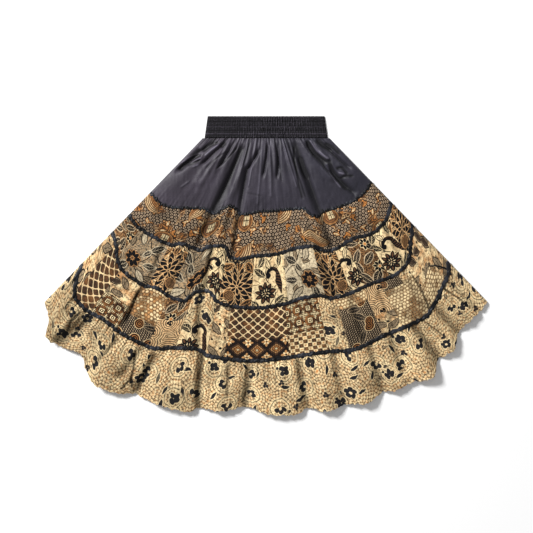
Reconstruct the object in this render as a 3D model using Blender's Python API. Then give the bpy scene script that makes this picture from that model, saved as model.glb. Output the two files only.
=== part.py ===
"""A tiered skirt laid flat, front up: an elastic waistband, a plain yoke and four gathered tiers with trims.

Metres, +Z up. The skirt lies on the plane z = 0 with its back panels flat on it, and the waist points to +Y.
The cloth opens like a fan, so its points are worked out from the fan's apex, above the waist: an angle from
straight down, and a reach from the apex. The last step moves everything to the middle of the skirt's box.
"""

import math
from collections import namedtuple

import bmesh
import bpy
import numpy as np

MM = 0.001

# Walls and the gaps between pieces
FRONT_CLOTH = 1.6 * MM
BACK_CLOTH = 1.5 * MM
TRIM = 1.0 * MM
SEAM_GAP = 0.3 * MM
TRIM_GAP = 0.35 * MM
FRONT_FLOOR = BACK_CLOTH + SEAM_GAP

# The fan, with the columns of points that its panels and trims are made from
HALF_ANGLE = 44.0
FRONT_COLUMNS = 108
TRIM_COLUMNS = 54
BACK_COLUMNS = 32

# The waistband, whose edges are measured down from the fan's apex
BAND_TOP = 113.6 * MM
BAND_FOOT = 171.0 * MM
BAND_TOP_HALF = 152.0 * MM
BAND_FOOT_HALF = 160.0 * MM
BAND_WALL = 2.2 * MM
BAND_CHANNELS = 5
BAND_CHANNEL_RISE = 1.2 * MM
BAND_RIBS = 30
BAND_RIB_RISE = 0.6 * MM

# Each seam of the front from the left fold to the right fold, as angle_deg and reach_mm
YOKE_SEAM = (
    (-44, 433), (-39, 437), (-35, 427), (-29.5, 405), (-24, 389), (-20.5, 391), (-18.2, 376),
    (-15.3, 359), (-12.5, 362), (-10, 374), (-2, 361), (6.5, 360), (15, 365), (17.7, 389),
    (20, 397), (22.3, 391), (30, 399), (36, 404), (40, 402), (44, 393),
)
SECOND_SEAM = (
    (-44, 513), (-40, 521), (-35, 518), (-29.5, 513), (-25.3, 494), (-20.5, 493), (-17.5, 473),
    (-13.2, 465), (-11, 490), (-8.5, 490), (-3.5, 478), (3, 473), (10, 463), (15, 467),
    (18, 487), (21, 493), (27, 487), (34, 501), (38, 496), (44, 468),
)
THIRD_SEAM = (
    (-44, 575), (-40.5, 598), (-38.3, 622), (-35, 637), (-30, 638), (-27, 628), (-22.5, 634),
    (-19.8, 630), (-17.5, 597), (-14.5, 588), (-12, 609), (-8.5, 614), (-3.5, 613), (5, 602),
    (9.5, 593), (13, 595), (16.5, 611), (20, 614), (25, 612), (33, 623), (36.5, 616),
    (40, 583), (44, 546),
)
RUFFLE_SEAM = (
    (-44, 690), (-42.3, 733), (-40, 768), (-37, 774), (-33.5, 768), (-28.5, 775), (-23, 775),
    (-18, 752), (-13.7, 741), (-11.5, 751), (-5, 751), (3, 744), (8, 740), (12, 742),
    (18, 755), (24, 749), (33, 757), (36, 743), (39, 723), (42, 706), (44, 680),
)
FRONT_SEAMS = (YOKE_SEAM, SECOND_SEAM, THIRD_SEAM, RUFFLE_SEAM)
REACH = 1

# The ruffle's hem, as angle_deg, reach_mm and lift_mm: its lobes and notches, and how high each wave stands
HEM = (
    (-44.0, 829, 0), (-41.3, 853, 6), (-39.5, 895, 9), (-36.5, 888, 2), (-33.3, 875, 7),
    (-31.5, 898, 3), (-28.5, 925, 11), (-25.0, 919, 6), (-22.0, 901, 0), (-17.5, 907, 10),
    (-13.0, 905, 5), (-11.0, 887, 0), (-8.0, 888, 8), (-3.4, 870, 1), (1.0, 889, 9),
    (5.0, 892, 5), (7.0, 878, 0), (10.3, 894, 10), (13.5, 887, 2), (17.0, 898, 9),
    (20.0, 884, 0), (22.5, 892, 7), (24.8, 889, 2), (28.5, 903, 11), (31.2, 868, 0),
    (33.7, 871, 7), (36.8, 838, 1), (39.5, 834, 6), (42.0, 832, 2), (44.0, 828, 0),
)
LIFT = 2

# The back's seams start and end on the front's, and reach these depths in the middle; its hem stays inside
BACK_SEAM_MIDDLES = (385 * MM, 487 * MM, 612 * MM, 752 * MM)
BACK_HEM_SIDE = 820 * MM
BACK_HEM_MIDDLE = 862 * MM

# Folds pressed into the front. A depth of 1 leaves nothing of the cloth's height, below 0 it is a ridge.
Fold = namedtuple("Fold", "top_deg foot_deg top_mm foot_mm left_mm right_mm depth")
YOKE_FOLDS = (
    Fold(-18.0, -21.2, 200, 395, 7, 15, 0.95),
    Fold(-5.0, -11.5, 200, 262, 6, 5, 0.80),
    Fold(-11.2, -10.2, 255, 490, 7, 7, 0.75),
    Fold(22.0, 20.6, 195, 490, 13, 7, 0.95),
    Fold(29.5, 36.0, 215, 390, 6, 9, 0.85),
    Fold(-37.5, -42.0, 210, 345, 6, 6, 0.80),
    Fold(-24.0, -26.5, 185, 270, 5, 4, 0.60),
    Fold(-30.0, -35.0, 190, 290, 4, 6, 0.70),
    Fold(1.5, -1.5, 185, 268, 4, 4, 0.55),
    Fold(10.0, 6.0, 185, 275, 5, 4, 0.55),
    Fold(38.0, 41.0, 215, 330, 5, 5, 0.70),
    Fold(-15.8, -15.6, 200, 470, 9, 9, -0.45),
    Fold(27.0, 31.5, 185, 330, 8, 8, -0.40),
    Fold(-27.0, -31.0, 185, 345, 12, 12, -0.30),
)
TIER_FOLDS = (
    Fold(-21.2, -21.6, 385, 490, 8, 12, 0.80),
    Fold(-16.9, -15.6, 465, 605, 8, 7, 0.80),
    Fold(16.6, 17.2, 465, 615, 8, 9, 0.60),
    Fold(-30.5, -29.0, 505, 640, 8, 8, 0.50),
    Fold(37.5, 36.0, 495, 620, 8, 8, 0.55),
    Fold(-29.8, -29.4, 650, 760, 8, 9, 0.65),
    Fold(-16.3, -13.4, 600, 755, 9, 9, 0.75),
    Fold(20.5, 20.0, 610, 745, 10, 10, 0.65),
    Fold(34.8, 34.0, 620, 750, 8, 9, 0.50),
)
RUFFLE_FOLDS = (
    Fold(-35.6, -37.6, 780, 890, 16, 18, 0.85),
    Fold(-24.2, -25.6, 780, 880, 11, 11, 0.70),
    Fold(-21.4, -22.3, 785, 905, 10, 12, 0.90),
    Fold(-13.1, -11.2, 750, 900, 9, 11, 0.95),
    Fold(-3.2, -3.6, 765, 885, 12, 11, 0.85),
    Fold(6.5, 7.1, 750, 890, 10, 10, 0.80),
    Fold(13.5, 13.3, 748, 890, 11, 11, 0.65),
    Fold(20.6, 20.0, 757, 890, 10, 11, 0.85),
    Fold(25.2, 24.7, 752, 860, 10, 10, 0.60),
    Fold(30.2, 31.2, 757, 885, 11, 11, 0.90),
    Fold(35.6, 36.7, 745, 850, 11, 12, 0.80),
    Fold(41.0, 41.8, 715, 835, 9, 9, 0.60),
)
FOLDS = YOKE_FOLDS + TIER_FOLDS + RUFFLE_FOLDS
FOLD_END = 22.0 * MM

# The front's tiers: shares of the height where a row of points lies, the cloth's height at the top and the
# foot and the puff between them, then how many gathers there are, how high, and the share left at the foot
Tier = namedtuple("Tier", "name rows top_mm foot_mm puff_mm gathers gather_mm gather_left seed")
TIERS = (
    Tier("yoke", (0, 0.22, 0.6, 1), 3.0, 6.0, 4.5, 24, 2.6, 0.0, 1),
    Tier("tier_1", (0, 0.5, 1), 6.0, 6.0, 2.5, 20, 1.6, 0.0, 2),
    Tier("tier_2", (0, 0.5, 1), 6.0, 6.0, 2.8, 22, 1.8, 0.0, 3),
    Tier("tier_3", (0, 0.5, 1), 6.0, 5.5, 2.8, 24, 2.0, 0.0, 4),
    Tier("ruffle", (0, 0.16, 0.42, 0.72, 1), 5.5, 4.5, 3.0, 24, 3.2, 0.4, 5),
)
GATHER_RUN_IN = 0.15
SIDE_ROLL = 38.0 * MM

Trim = namedtuple("Trim", "name width_mm")
TRIMS = (Trim("trim_1", 8.0), Trim("trim_2", 12.0), Trim("trim_3", 12.0), Trim("trim_4", 13.0))

Look = namedtuple("Look", "name colour roughness")
BLACK_ELASTIC = Look("black_elastic", (0.022, 0.020, 0.026), 0.70)
BLACK_SATIN = Look("black_satin", (0.015, 0.018, 0.024), 0.32)
TIER_LOOKS = {
    "yoke": Look("black_cotton", (0.045, 0.040, 0.052), 0.55),
    "tier_1": Look("dark_batik", (0.21, 0.135, 0.085), 0.80),
    "tier_2": Look("floral_batik", (0.30, 0.22, 0.14), 0.80),
    "tier_3": Look("patch_batik", (0.27, 0.18, 0.11), 0.80),
    "ruffle": Look("cream_batik", (0.47, 0.34, 0.20), 0.80),
}


def ease(share):
    share = np.clip(share, 0, 1)
    return share * share * (3 - 2 * share)


def along(table, column, angle):
    """One column of a table at each angle, read off a smooth curve that never overshoots its rows."""
    x = np.array([row[0] for row in table], float)
    y = np.array([row[column] for row in table], float)
    step = np.diff(x)
    rise = np.diff(y) / step
    product = rise[:-1] * rise[1:]
    slope = np.zeros(len(x))
    slope[0] = rise[0]
    slope[-1] = rise[-1]
    same_way = product > 0
    slope[1:-1][same_way] = 2 * product[same_way] / (rise[:-1] + rise[1:])[same_way]
    angle = np.clip(angle, x[0], x[-1])
    i = np.clip(np.searchsorted(x, angle) - 1, 0, len(step) - 1)
    share = (angle - x[i]) / step[i]
    level = y[i] + (y[i + 1] - y[i]) * ease(share)
    bend = slope[i] * (1 - share) - slope[i + 1] * share
    return level + step[i] * share * (1 - share) * bend


def front_reach(k, angle):
    """Reach of the k-th edge down the front: 0 is the waist, 1 to 4 are the seams and 5 is the hem."""
    if k == 0:
        return BAND_FOOT / np.cos(np.radians(angle))
    if k == len(TIERS):
        return along(HEM, REACH, angle) * MM
    return along(FRONT_SEAMS[k - 1], REACH, angle) * MM


def back_reach(k, angle):
    """Reach of the same edges down the back, which has no folds: each is one even curve."""
    if k == 0:
        return front_reach(0, angle)
    left, right = front_reach(k, -HALF_ANGLE), front_reach(k, HALF_ANGLE)
    if k == len(TIERS):
        left, right, middle = BACK_HEM_SIDE, BACK_HEM_SIDE, BACK_HEM_MIDDLE
    else:
        middle = BACK_SEAM_MIDDLES[k - 1]
    side = left + (right - left) * (angle + HALF_ANGLE) / (2 * HALF_ANGLE)
    return side + (middle - side) * (1 - (angle / HALF_ANGLE) ** 2)


def height_left(angle, reach):
    """What the folds leave of the cloth's height: 1 between them, near 0 in a deep one, over 1 on a ridge."""
    left = np.ones(np.shape(angle))
    for fold in FOLDS:
        top, foot = fold.top_mm * MM, fold.foot_mm * MM
        down = np.clip((reach - top) / (foot - top), 0, 1)
        centre = fold.top_deg + (fold.foot_deg - fold.top_deg) * down
        aside = np.radians(angle - centre) * reach
        width = np.where(aside < 0, fold.left_mm, fold.right_mm) * MM
        ends = ease((reach - top) / FOLD_END + 0.5) * ease((foot - reach) / FOLD_END + 0.5)
        left = left * (1 - fold.depth * ends * np.exp(-((aside / width) ** 2)))
    return left


def gather_wave(tier, angle):
    """Uneven gathers round one tier, from 0 between them to 1 on the strongest crests."""
    turn = math.pi * (angle + HALF_ANGLE) / (2 * HALF_ANGLE)
    drift = 0.35 * np.sin(5 * turn + 2.1 * tier.seed) + 0.25 * np.sin(11 * turn + tier.seed)
    strength = 0.75 + 0.25 * np.sin(7 * turn + 1.3 * tier.seed)
    return strength * (0.5 - 0.5 * np.cos(2 * tier.gathers * turn + 2 * math.pi * drift))


def front_lift(k, angle, share):
    """How far tier k's front lies above its floor, at that share of the tier's height."""
    tier = TIERS[k]
    top, foot = front_reach(k, angle), front_reach(k + 1, angle)
    reach = top + (foot - top) * share
    lift = tier.top_mm + (tier.foot_mm - tier.top_mm) * share + tier.puff_mm * 4 * share * (1 - share)
    gather = ease(share / GATHER_RUN_IN) * (1 - (1 - tier.gather_left) * share)
    lift = lift + tier.gather_mm * gather * gather_wave(tier, angle)
    if k == len(TIERS) - 1:
        lift = lift + along(HEM, LIFT, angle) * ease(share)
    from_side = np.radians(HALF_ANGLE - np.abs(angle)) * reach
    roll = np.sqrt(1 - (1 - np.clip(from_side / SIDE_ROLL, 0, 1)) ** 2)
    return lift * MM * height_left(angle, reach) * roll


def place(angle, reach, z=0.0):
    """Points of the fan as x, y and z, with the apex at the origin."""
    turn = np.radians(angle)
    x, y = reach * np.sin(turn), -reach * np.cos(turn)
    return np.stack([x, y, np.broadcast_to(z, np.shape(x))], axis=-1)


def columns_of(count):
    return np.linspace(-HALF_ANGLE, HALF_ANGLE, count + 1)


def material_of(look):
    found = bpy.data.materials.get(look.name)
    if found:
        return found
    made = bpy.data.materials.new(look.name)
    made.use_nodes = True
    shader = made.node_tree.nodes["Principled BSDF"]
    shader.inputs["Base Color"].default_value = (*look.colour, 1.0)
    shader.inputs["Roughness"].default_value = look.roughness
    shader.inputs["Metallic"].default_value = 0.0
    return made


def cloth_wall(collection, name, look, points, wall):
    """A closed wall over points[row][column] of its underside; wall is its thickness, one or one for each."""
    rows, columns = points.shape[:2]
    wall = np.broadcast_to(wall, (rows, columns))
    bm = bmesh.new()
    row_of = bm.verts.layers.int.new("row")
    column_of = bm.verts.layers.int.new("column")
    bmesh.ops.create_grid(bm, x_segments=columns - 1, y_segments=rows - 1, size=0.5)
    for vert in bm.verts:
        vert[row_of] = round((0.5 - vert.co.y) * (rows - 1))
        vert[column_of] = round((vert.co.x + 0.5) * (columns - 1))
        vert.co = points[vert[row_of], vert[column_of]]
    bmesh.ops.triangulate(bm, faces=bm.faces[:])
    underside = bm.faces[:]
    raised = bmesh.ops.extrude_face_region(bm, geom=underside, use_keep_orig=True)["geom"]
    for vert in raised:
        if isinstance(vert, bmesh.types.BMVert):
            vert.co.z += wall[vert[row_of], vert[column_of]]
    if np.ptp(points[..., 2]) == 0:
        bmesh.ops.dissolve_faces(bm, faces=underside)
    bmesh.ops.recalc_face_normals(bm, faces=bm.faces[:])
    mesh = bpy.data.meshes.new(name)
    bm.to_mesh(mesh)
    bm.free()
    mesh.materials.append(material_of(look))
    collection.objects.link(bpy.data.objects.new(name, mesh))


def front_panel(k):
    """Underside points of tier k's front, its first and last rows half a gap inside their seams."""
    angles = columns_of(FRONT_COLUMNS)
    top, foot = front_reach(k, angles), front_reach(k + 1, angles)
    grid = []
    for share in TIERS[k].rows:
        reach = top + (foot - top) * share
        slant = np.hypot(1, np.gradient(reach, np.radians(angles)) / reach)
        inset = 0.0
        if share == 0:
            inset = SEAM_GAP if k == 0 else SEAM_GAP / 2
        elif share == 1:
            inset = -SEAM_GAP / 2
        grid.append(place(angles, reach + inset * slant, FRONT_FLOOR + front_lift(k, angles, share)))
    return np.array(grid)


def front_top(angle, reach):
    """Height of the front's upper face at points of the fan, read between the rows and columns it is made of."""
    height = np.zeros(np.shape(angle))
    columns = columns_of(FRONT_COLUMNS)
    for k, tier in enumerate(TIERS):
        top, foot = front_reach(k, angle), front_reach(k + 1, angle)
        share = (reach - top) / (foot - top)
        for low, high in zip(tier.rows, tier.rows[1:]):
            at_low = np.interp(angle, columns, front_lift(k, columns, low))
            at_high = np.interp(angle, columns, front_lift(k, columns, high))
            between = at_low + (at_high - at_low) * (share - low) / (high - low)
            height = np.where((share >= low) & (share <= high), between, height)
    return FRONT_FLOOR + FRONT_CLOTH + height


def back_panel(k):
    """Points of tier k's back, flat on the ground, from the trim above it to the trim below it."""
    angles = columns_of(BACK_COLUMNS)
    if k == 0:
        top = place(angles, back_reach(0, angles) + SEAM_GAP)
    else:
        top = place(*trim_edges(k, back_reach, BACK_COLUMNS, SEAM_GAP)[1])
    if k == len(TIERS) - 1:
        foot = place(angles, back_reach(k + 1, angles))
    else:
        foot = place(*trim_edges(k + 1, back_reach, BACK_COLUMNS, SEAM_GAP)[0])
    return np.array([top, foot])


def trim_edges(k, reach_of, columns, room=0.0):
    """Angle and reach along both edges of the trim over seam k, each half its width square off the seam."""
    angles = columns_of(columns)
    seam = place(angles, reach_of(k, angles))[:, :2]
    run = np.gradient(seam, axis=0)
    run /= np.linalg.norm(run, axis=1)[:, None]
    square = np.stack([run[:, 1], -run[:, 0]], axis=1)
    half = TRIMS[k - 1].width_mm * MM / 2 + room
    edges = []
    for side in (-half, half):
        x, y = (seam + square * side).T
        angle = np.clip(np.degrees(np.arctan2(x, -y)), -HALF_ANGLE, HALF_ANGLE)
        edges.append((angle, np.hypot(x, y)))
    return edges


def front_trim(k):
    """Underside points of the trim over seam k, level across it and just clear of the cloth it lies on."""
    upper, lower = np.array(trim_edges(k, front_reach, TRIM_COLUMNS))
    pitch = 2 * HALF_ANGLE / FRONT_COLUMNS
    highest = np.zeros(TRIM_COLUMNS + 1)
    for across in np.linspace(0, 1, 5):
        angle, reach = upper + (lower - upper) * across
        for step in np.linspace(-1, 1, 9):
            highest = np.maximum(highest, front_top(angle + step * pitch, reach))
    return np.array([place(*upper, highest + TRIM_GAP), place(*lower, highest + TRIM_GAP)])


def band_panel(rows, columns, z):
    """Underside points of one side of the waistband, a straight strip a little wider at its foot."""
    grid = []
    for share in np.linspace(0, 1, rows + 1):
        half = BAND_TOP_HALF + (BAND_FOOT_HALF - BAND_TOP_HALF) * share
        x = np.linspace(-half, half, columns + 1)
        y = np.full(columns + 1, -BAND_TOP - (BAND_FOOT - BAND_TOP) * share)
        grid.append(np.stack([x, y, np.full(columns + 1, z)], axis=-1))
    return np.array(grid)


def shirred_wall(rows, columns):
    """The front waistband's thickness: channels of elastic between its stitch rows, crossed by fine ribs."""
    down = np.linspace(0, 1, rows + 1)[:, None]
    across = np.linspace(0, 1, columns + 1)[None, :]
    channel = np.sin(math.pi * BAND_CHANNELS * down) ** 2
    rib = np.sin(math.pi * BAND_RIBS * across) ** 2
    return BAND_WALL + channel * (BAND_CHANNEL_RISE + BAND_RIB_RISE * rib)


def make_waistband(collection):
    rows, columns = 2 * BAND_CHANNELS, 2 * BAND_RIBS
    front = band_panel(rows, columns, FRONT_FLOOR)
    cloth_wall(collection, "waistband_front", BLACK_ELASTIC, front, shirred_wall(rows, columns))
    cloth_wall(collection, "waistband_back", BLACK_ELASTIC, band_panel(1, 2, 0.0), BACK_CLOTH)


def make_tiers(collection):
    for k, tier in enumerate(TIERS):
        look = TIER_LOOKS[tier.name]
        cloth_wall(collection, f"{tier.name}_front", look, front_panel(k), FRONT_CLOTH)
        cloth_wall(collection, f"{tier.name}_back", look, back_panel(k), BACK_CLOTH)


def make_trims(collection):
    for k, trim in enumerate(TRIMS, start=1):
        cloth_wall(collection, f"{trim.name}_front", BLACK_SATIN, front_trim(k), TRIM)
        flat = np.array([place(*edge) for edge in trim_edges(k, back_reach, BACK_COLUMNS)])
        cloth_wall(collection, f"{trim.name}_back", BLACK_SATIN, flat, BACK_CLOTH)


def centre_on_box(objects):
    """Moves every piece so that the middle of the skirt's box stands over the origin."""
    corners = np.array([vert.co.xy for item in objects for vert in item.data.vertices])
    middle = (corners.min(axis=0) + corners.max(axis=0)) / 2
    for item in objects:
        for vert in item.data.vertices:
            vert.co.x -= middle[0]
            vert.co.y -= middle[1]


def main():
    for item in list(bpy.data.objects):
        bpy.data.objects.remove(item)
    collection = bpy.data.collections.new("tiered_skirt")
    bpy.context.scene.collection.children.link(collection)
    make_waistband(collection)
    make_tiers(collection)
    make_trims(collection)
    centre_on_box(collection.objects)


main()
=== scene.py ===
"""Dresses the tiered skirt as it lies flat: thin cloth shells with their folds and gathers, printed
cottons, ruched satin trims, a shirred waistband and the sewing, seen from straight above in soft light.

Lengths are metres and angles degrees, unless a name says otherwise. The cloth opens like a fan, so a
point of it is an angle from straight down and a reach from the fan's apex. Prints are drawn in mm.
"""

import math
from collections import namedtuple

import bpy
import numpy as np
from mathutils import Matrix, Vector


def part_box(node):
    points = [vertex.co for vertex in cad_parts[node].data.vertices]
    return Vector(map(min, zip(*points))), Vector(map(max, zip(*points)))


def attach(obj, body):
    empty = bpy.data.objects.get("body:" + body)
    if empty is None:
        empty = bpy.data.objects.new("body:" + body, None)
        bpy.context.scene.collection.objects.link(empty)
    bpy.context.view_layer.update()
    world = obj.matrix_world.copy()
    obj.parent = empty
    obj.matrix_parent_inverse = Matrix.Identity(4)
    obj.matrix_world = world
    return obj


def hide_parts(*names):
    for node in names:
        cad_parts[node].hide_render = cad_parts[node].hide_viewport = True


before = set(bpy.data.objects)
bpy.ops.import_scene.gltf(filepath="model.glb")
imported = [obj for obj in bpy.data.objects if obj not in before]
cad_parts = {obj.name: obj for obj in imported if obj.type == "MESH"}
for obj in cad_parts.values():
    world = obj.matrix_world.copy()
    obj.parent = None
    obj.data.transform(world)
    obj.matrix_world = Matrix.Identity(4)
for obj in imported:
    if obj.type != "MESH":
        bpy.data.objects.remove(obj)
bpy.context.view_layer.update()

MM = 0.001
TURN = 2 * math.pi

# Sizes that the solids are made with
HALF_ANGLE = 44.0
BACK_CLOTH = 1.5 * MM
FRONT_FLOOR = BACK_CLOTH + 0.3 * MM
BAND_TOP = 113.6 * MM
BAND_FOOT = 171.0 * MM
BAND_DEPTH = BAND_FOOT - BAND_TOP
BAND_TOP_HALF = 152.0 * MM
BAND_FOOT_HALF = 160.0 * MM
SIDE_ROLL = 38.0 * MM
FOLD_END = 22.0 * MM
GATHER_RUN_IN = 0.15
# The fan's apex in the frame, over the middle of the waistband
BAND_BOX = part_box("waistband_front")
APEX = (sum(corner[0] for corner in BAND_BOX) / 2, BAND_BOX[1][1] + BAND_TOP)

# The seams of the front from the yoke's down, each from the left fold to the right one, as angle_deg and
# reach_mm
FRONT_SEAMS = (
    (
        (-44, 433), (-39, 437), (-35, 427), (-29.5, 405), (-24, 389), (-20.5, 391), (-18.2, 376),
        (-15.3, 359), (-12.5, 362), (-10, 374), (-2, 361), (6.5, 360), (15, 365), (17.7, 389), (20, 397),
        (22.3, 391), (30, 399), (36, 404), (40, 402), (44, 393),
    ),
    (
        (-44, 513), (-40, 521), (-35, 518), (-29.5, 513), (-25.3, 494), (-20.5, 493), (-17.5, 473),
        (-13.2, 465), (-11, 490), (-8.5, 490), (-3.5, 478), (3, 473), (10, 463), (15, 467), (18, 487),
        (21, 493), (27, 487), (34, 501), (38, 496), (44, 468),
    ),
    (
        (-44, 575), (-40.5, 598), (-38.3, 622), (-35, 637), (-30, 638), (-27, 628), (-22.5, 634),
        (-19.8, 630), (-17.5, 597), (-14.5, 588), (-12, 609), (-8.5, 614), (-3.5, 613), (5, 602),
        (9.5, 593), (13, 595), (16.5, 611), (20, 614), (25, 612), (33, 623), (36.5, 616), (40, 583),
        (44, 546),
    ),
    (
        (-44, 690), (-42.3, 733), (-40, 768), (-37, 774), (-33.5, 768), (-28.5, 775), (-23, 775),
        (-18, 752), (-13.7, 741), (-11.5, 751), (-5, 751), (3, 744), (8, 740), (12, 742), (18, 755),
        (24, 749), (33, 757), (36, 743), (39, 723), (42, 706), (44, 680),
    ),
)
REACH = 1

# The ruffle's hem, as angle_deg, reach_mm and lift_mm
HEM = (
    (-44, 829, 0), (-41.3, 853, 6), (-39.5, 895, 9), (-36.5, 888, 2), (-33.3, 875, 7), (-31.5, 898, 3),
    (-28.5, 925, 11), (-25, 919, 6), (-22, 901, 0), (-17.5, 907, 10), (-13, 905, 5), (-11, 887, 0),
    (-8, 888, 8), (-3.4, 870, 1), (1, 889, 9), (5, 892, 5), (7, 878, 0), (10.3, 894, 10), (13.5, 887, 2),
    (17, 898, 9), (20, 884, 0), (22.5, 892, 7), (24.8, 889, 2), (28.5, 903, 11), (31.2, 868, 0),
    (33.7, 871, 7), (36.8, 838, 1), (39.5, 834, 6), (42, 832, 2), (44, 828, 0),
)
LIFT = 2
BACK_SEAM_MIDDLES = (385 * MM, 487 * MM, 612 * MM, 752 * MM)
BACK_HEM_SIDE = 820 * MM
BACK_HEM_MIDDLE = 862 * MM

# Folds pressed into the front. A depth of 1 leaves nothing of the cloth's height, below 0 it is a ridge.
Fold = namedtuple("Fold", "top_deg foot_deg top_mm foot_mm left_mm right_mm depth")
FOLDS = [Fold(*row) for row in (
    (-18, -21.2, 200, 395, 7, 15, 0.95), (-5, -11.5, 200, 262, 6, 5, 0.8),
    (-11.2, -10.2, 255, 490, 7, 7, 0.75), (22, 20.6, 195, 490, 13, 7, 0.95),
    (29.5, 36, 215, 390, 6, 9, 0.85), (-37.5, -42, 210, 345, 6, 6, 0.8), (-24, -26.5, 185, 270, 5, 4, 0.6),
    (-30, -35, 190, 290, 4, 6, 0.7), (1.5, -1.5, 185, 268, 4, 4, 0.55), (10, 6, 185, 275, 5, 4, 0.55),
    (38, 41, 215, 330, 5, 5, 0.7), (-15.8, -15.6, 200, 470, 9, 9, -0.45), (27, 31.5, 185, 330, 8, 8, -0.4),
    (-27, -31, 185, 345, 12, 12, -0.3), (-21.2, -21.6, 385, 490, 8, 12, 0.8),
    (-16.9, -15.6, 465, 605, 8, 7, 0.8), (16.6, 17.2, 465, 615, 8, 9, 0.6),
    (-30.5, -29, 505, 640, 8, 8, 0.5), (37.5, 36, 495, 620, 8, 8, 0.55),
    (-29.8, -29.4, 650, 760, 8, 9, 0.65), (-16.3, -13.4, 600, 755, 9, 9, 0.75),
    (20.5, 20, 610, 745, 10, 10, 0.65), (34.8, 34, 620, 750, 8, 9, 0.5),
    (-35.6, -37.6, 780, 890, 16, 18, 0.85), (-24.2, -25.6, 780, 880, 11, 11, 0.7),
    (-21.4, -22.3, 785, 905, 10, 12, 0.9), (-13.1, -11.2, 750, 900, 9, 11, 0.95),
    (-3.2, -3.6, 765, 885, 12, 11, 0.85), (6.5, 7.1, 750, 890, 10, 10, 0.8),
    (13.5, 13.3, 748, 890, 11, 11, 0.65), (20.6, 20, 757, 890, 10, 11, 0.85),
    (25.2, 24.7, 752, 860, 10, 10, 0.6), (30.2, 31.2, 757, 885, 11, 11, 0.9),
    (35.6, 36.7, 745, 850, 11, 12, 0.8), (41, 41.8, 715, 835, 9, 9, 0.6),
)]

# Finer creases of the cloth itself, which the solids leave out: the width_mm, the height_mm, which is below
# 0 in a trough, and the places that each runs through, as angle_deg and reach_mm
CREASES = (
    (2.5, -1.2, (-13, 176), (-13.6, 250)), (3, 1.1, (-8.5, 176), (-8.8, 300)),
    (3.5, 1.2, (-2.5, 176), (-3.8, 345)), (3, 1, (4, 176), (2.2, 325)), (2.5, -1.1, (7.5, 176), (8.2, 285)),
    (3, 1.3, (13.5, 176), (14.8, 310)), (3, -1.2, (17, 176), (17.6, 340)),
    (2.5, -0.8, (-9, 318), (-2, 322)), (3, 1, (-19, 420), (-19.6, 470)), (3, 0.9, (5, 385), (4.2, 455)),
    (3, 0.9, (27, 410), (28, 480)), (3.5, 1, (-6, 500), (-5.2, 590)), (3, -1, (10.5, 480), (9.8, 560)),
    (3.5, -1.1, (-24.5, 510), (-24, 610)), (3.5, 1.1, (30, 510), (29, 600)),
    (3.5, 1.1, (-10, 630), (-9, 720)), (4, 1.1, (8, 620), (8.8, 725)), (3.5, -1.2, (27, 640), (26.6, 740)),
    (4, 1.1, (-34, 655), (-34.4, 750)), (4.5, 1.8, (-18.6, 775), (-18, 860)),
    (4, -1.6, (-7.4, 765), (-6.8, 850)), (4, 1.6, (3.4, 765), (2.6, 845)),
    (4.5, 1.8, (16.4, 770), (16.8, 860)), (5, -1.8, (-29, 790), (-30.4, 880)),
    (4, 1.6, (38.2, 745), (39, 820)), (2.6, -3, (35.7, 650), (35.5, 694), (34.9, 731), (34.5, 756)),
    (2.6, -3, (39.4, 728), (40.4, 770), (40.8, 808)), (2.4, -2.2, (32.1, 755), (33.1, 790), (33.8, 821)),
    (4, -3, (-37.7, 787), (-38, 822), (-37.5, 847)), (3, -2.2, (-35.7, 785), (-36.1, 812), (-36, 846)),
    (3, -3.4, (-25.1, 800), (-24.1, 840), (-23.7, 870), (-23, 886)),
    (2.6, -3, (-21.9, 839), (-22, 867), (-21.9, 887)), (2.6, -2.4, (-23.7, 870), (-24.6, 906)),
    (2.6, -2.6, (-30.3, 658), (-29.3, 739)), (2.8, -2.6, (-12.7, 745), (-12.2, 786), (-12.4, 813)),
    (2.6, -2.4, (-3, 811), (-3.9, 843), (-4, 859)),
    (5, -4.5, (30.9, 208), (30.5, 243), (32.3, 262), (34.1, 282)),
    (3.5, 3.2, (32.8, 210), (33, 243), (34.3, 263), (35.7, 280)),
    (4.5, -4, (35.5, 279), (33.9, 306), (33.7, 320), (33.9, 344), (34.5, 369)),
    (3.5, 2.4, (33.2, 284), (32.4, 309), (32.6, 338), (33, 358)),
    (4.5, -3.5, (36.4, 220), (37.3, 242), (39.7, 264)), (4, -3.2, (39.9, 241), (41.8, 263), (42, 285)),
    (3.5, -3.2, (36.1, 310), (38.5, 317), (38.5, 340)), (3.5, -2.8, (33.2, 334), (37, 339), (39.9, 352)),
    (3, 2.6, (35.6, 321), (37.4, 334)), (3, -2, (20.3, 209), (17.8, 242), (16.3, 305), (16.1, 342)),
    (6, -3, (21.9, 239), (20.7, 271), (21.7, 295)), (4, -3.2, (-41.4, 321), (-38.2, 274)),
    (2.5, 2.4, (-43, 322), (-41.5, 292), (-38.5, 265)), (2.5, 2.4, (-41.2, 330), (-40, 304), (-36.9, 278)),
    (3, -2.6, (-39.7, 314), (-36.9, 286)), (2.5, 1.8, (-37.7, 312), (-36, 297)),
    (4.5, -3.8, (-38.5, 261), (-37.5, 240), (-34.4, 221)),
    (3, 2.4, (-36.1, 268), (-34.8, 244), (-33.2, 224)), (4, -3.4, (-30.6, 227), (-30, 211)),
    (2.5, -2, (-27.1, 282), (-23.2, 238), (-21, 209)), (2.5, -1.4, (-31.9, 294), (-29.5, 254), (-26, 230)),
    (2.5, 1.2, (-36.5, 372), (-35, 345)), (6, -3.2, (-41.5, 338), (-41.3, 304), (-40.7, 264)),
)
CREASE_END = 10 * MM
# The crease height over which the painted shade in a trough, and the painted highlight on a ridge, grow to
# full
CREASE_DARK = 2.2 * MM

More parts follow.
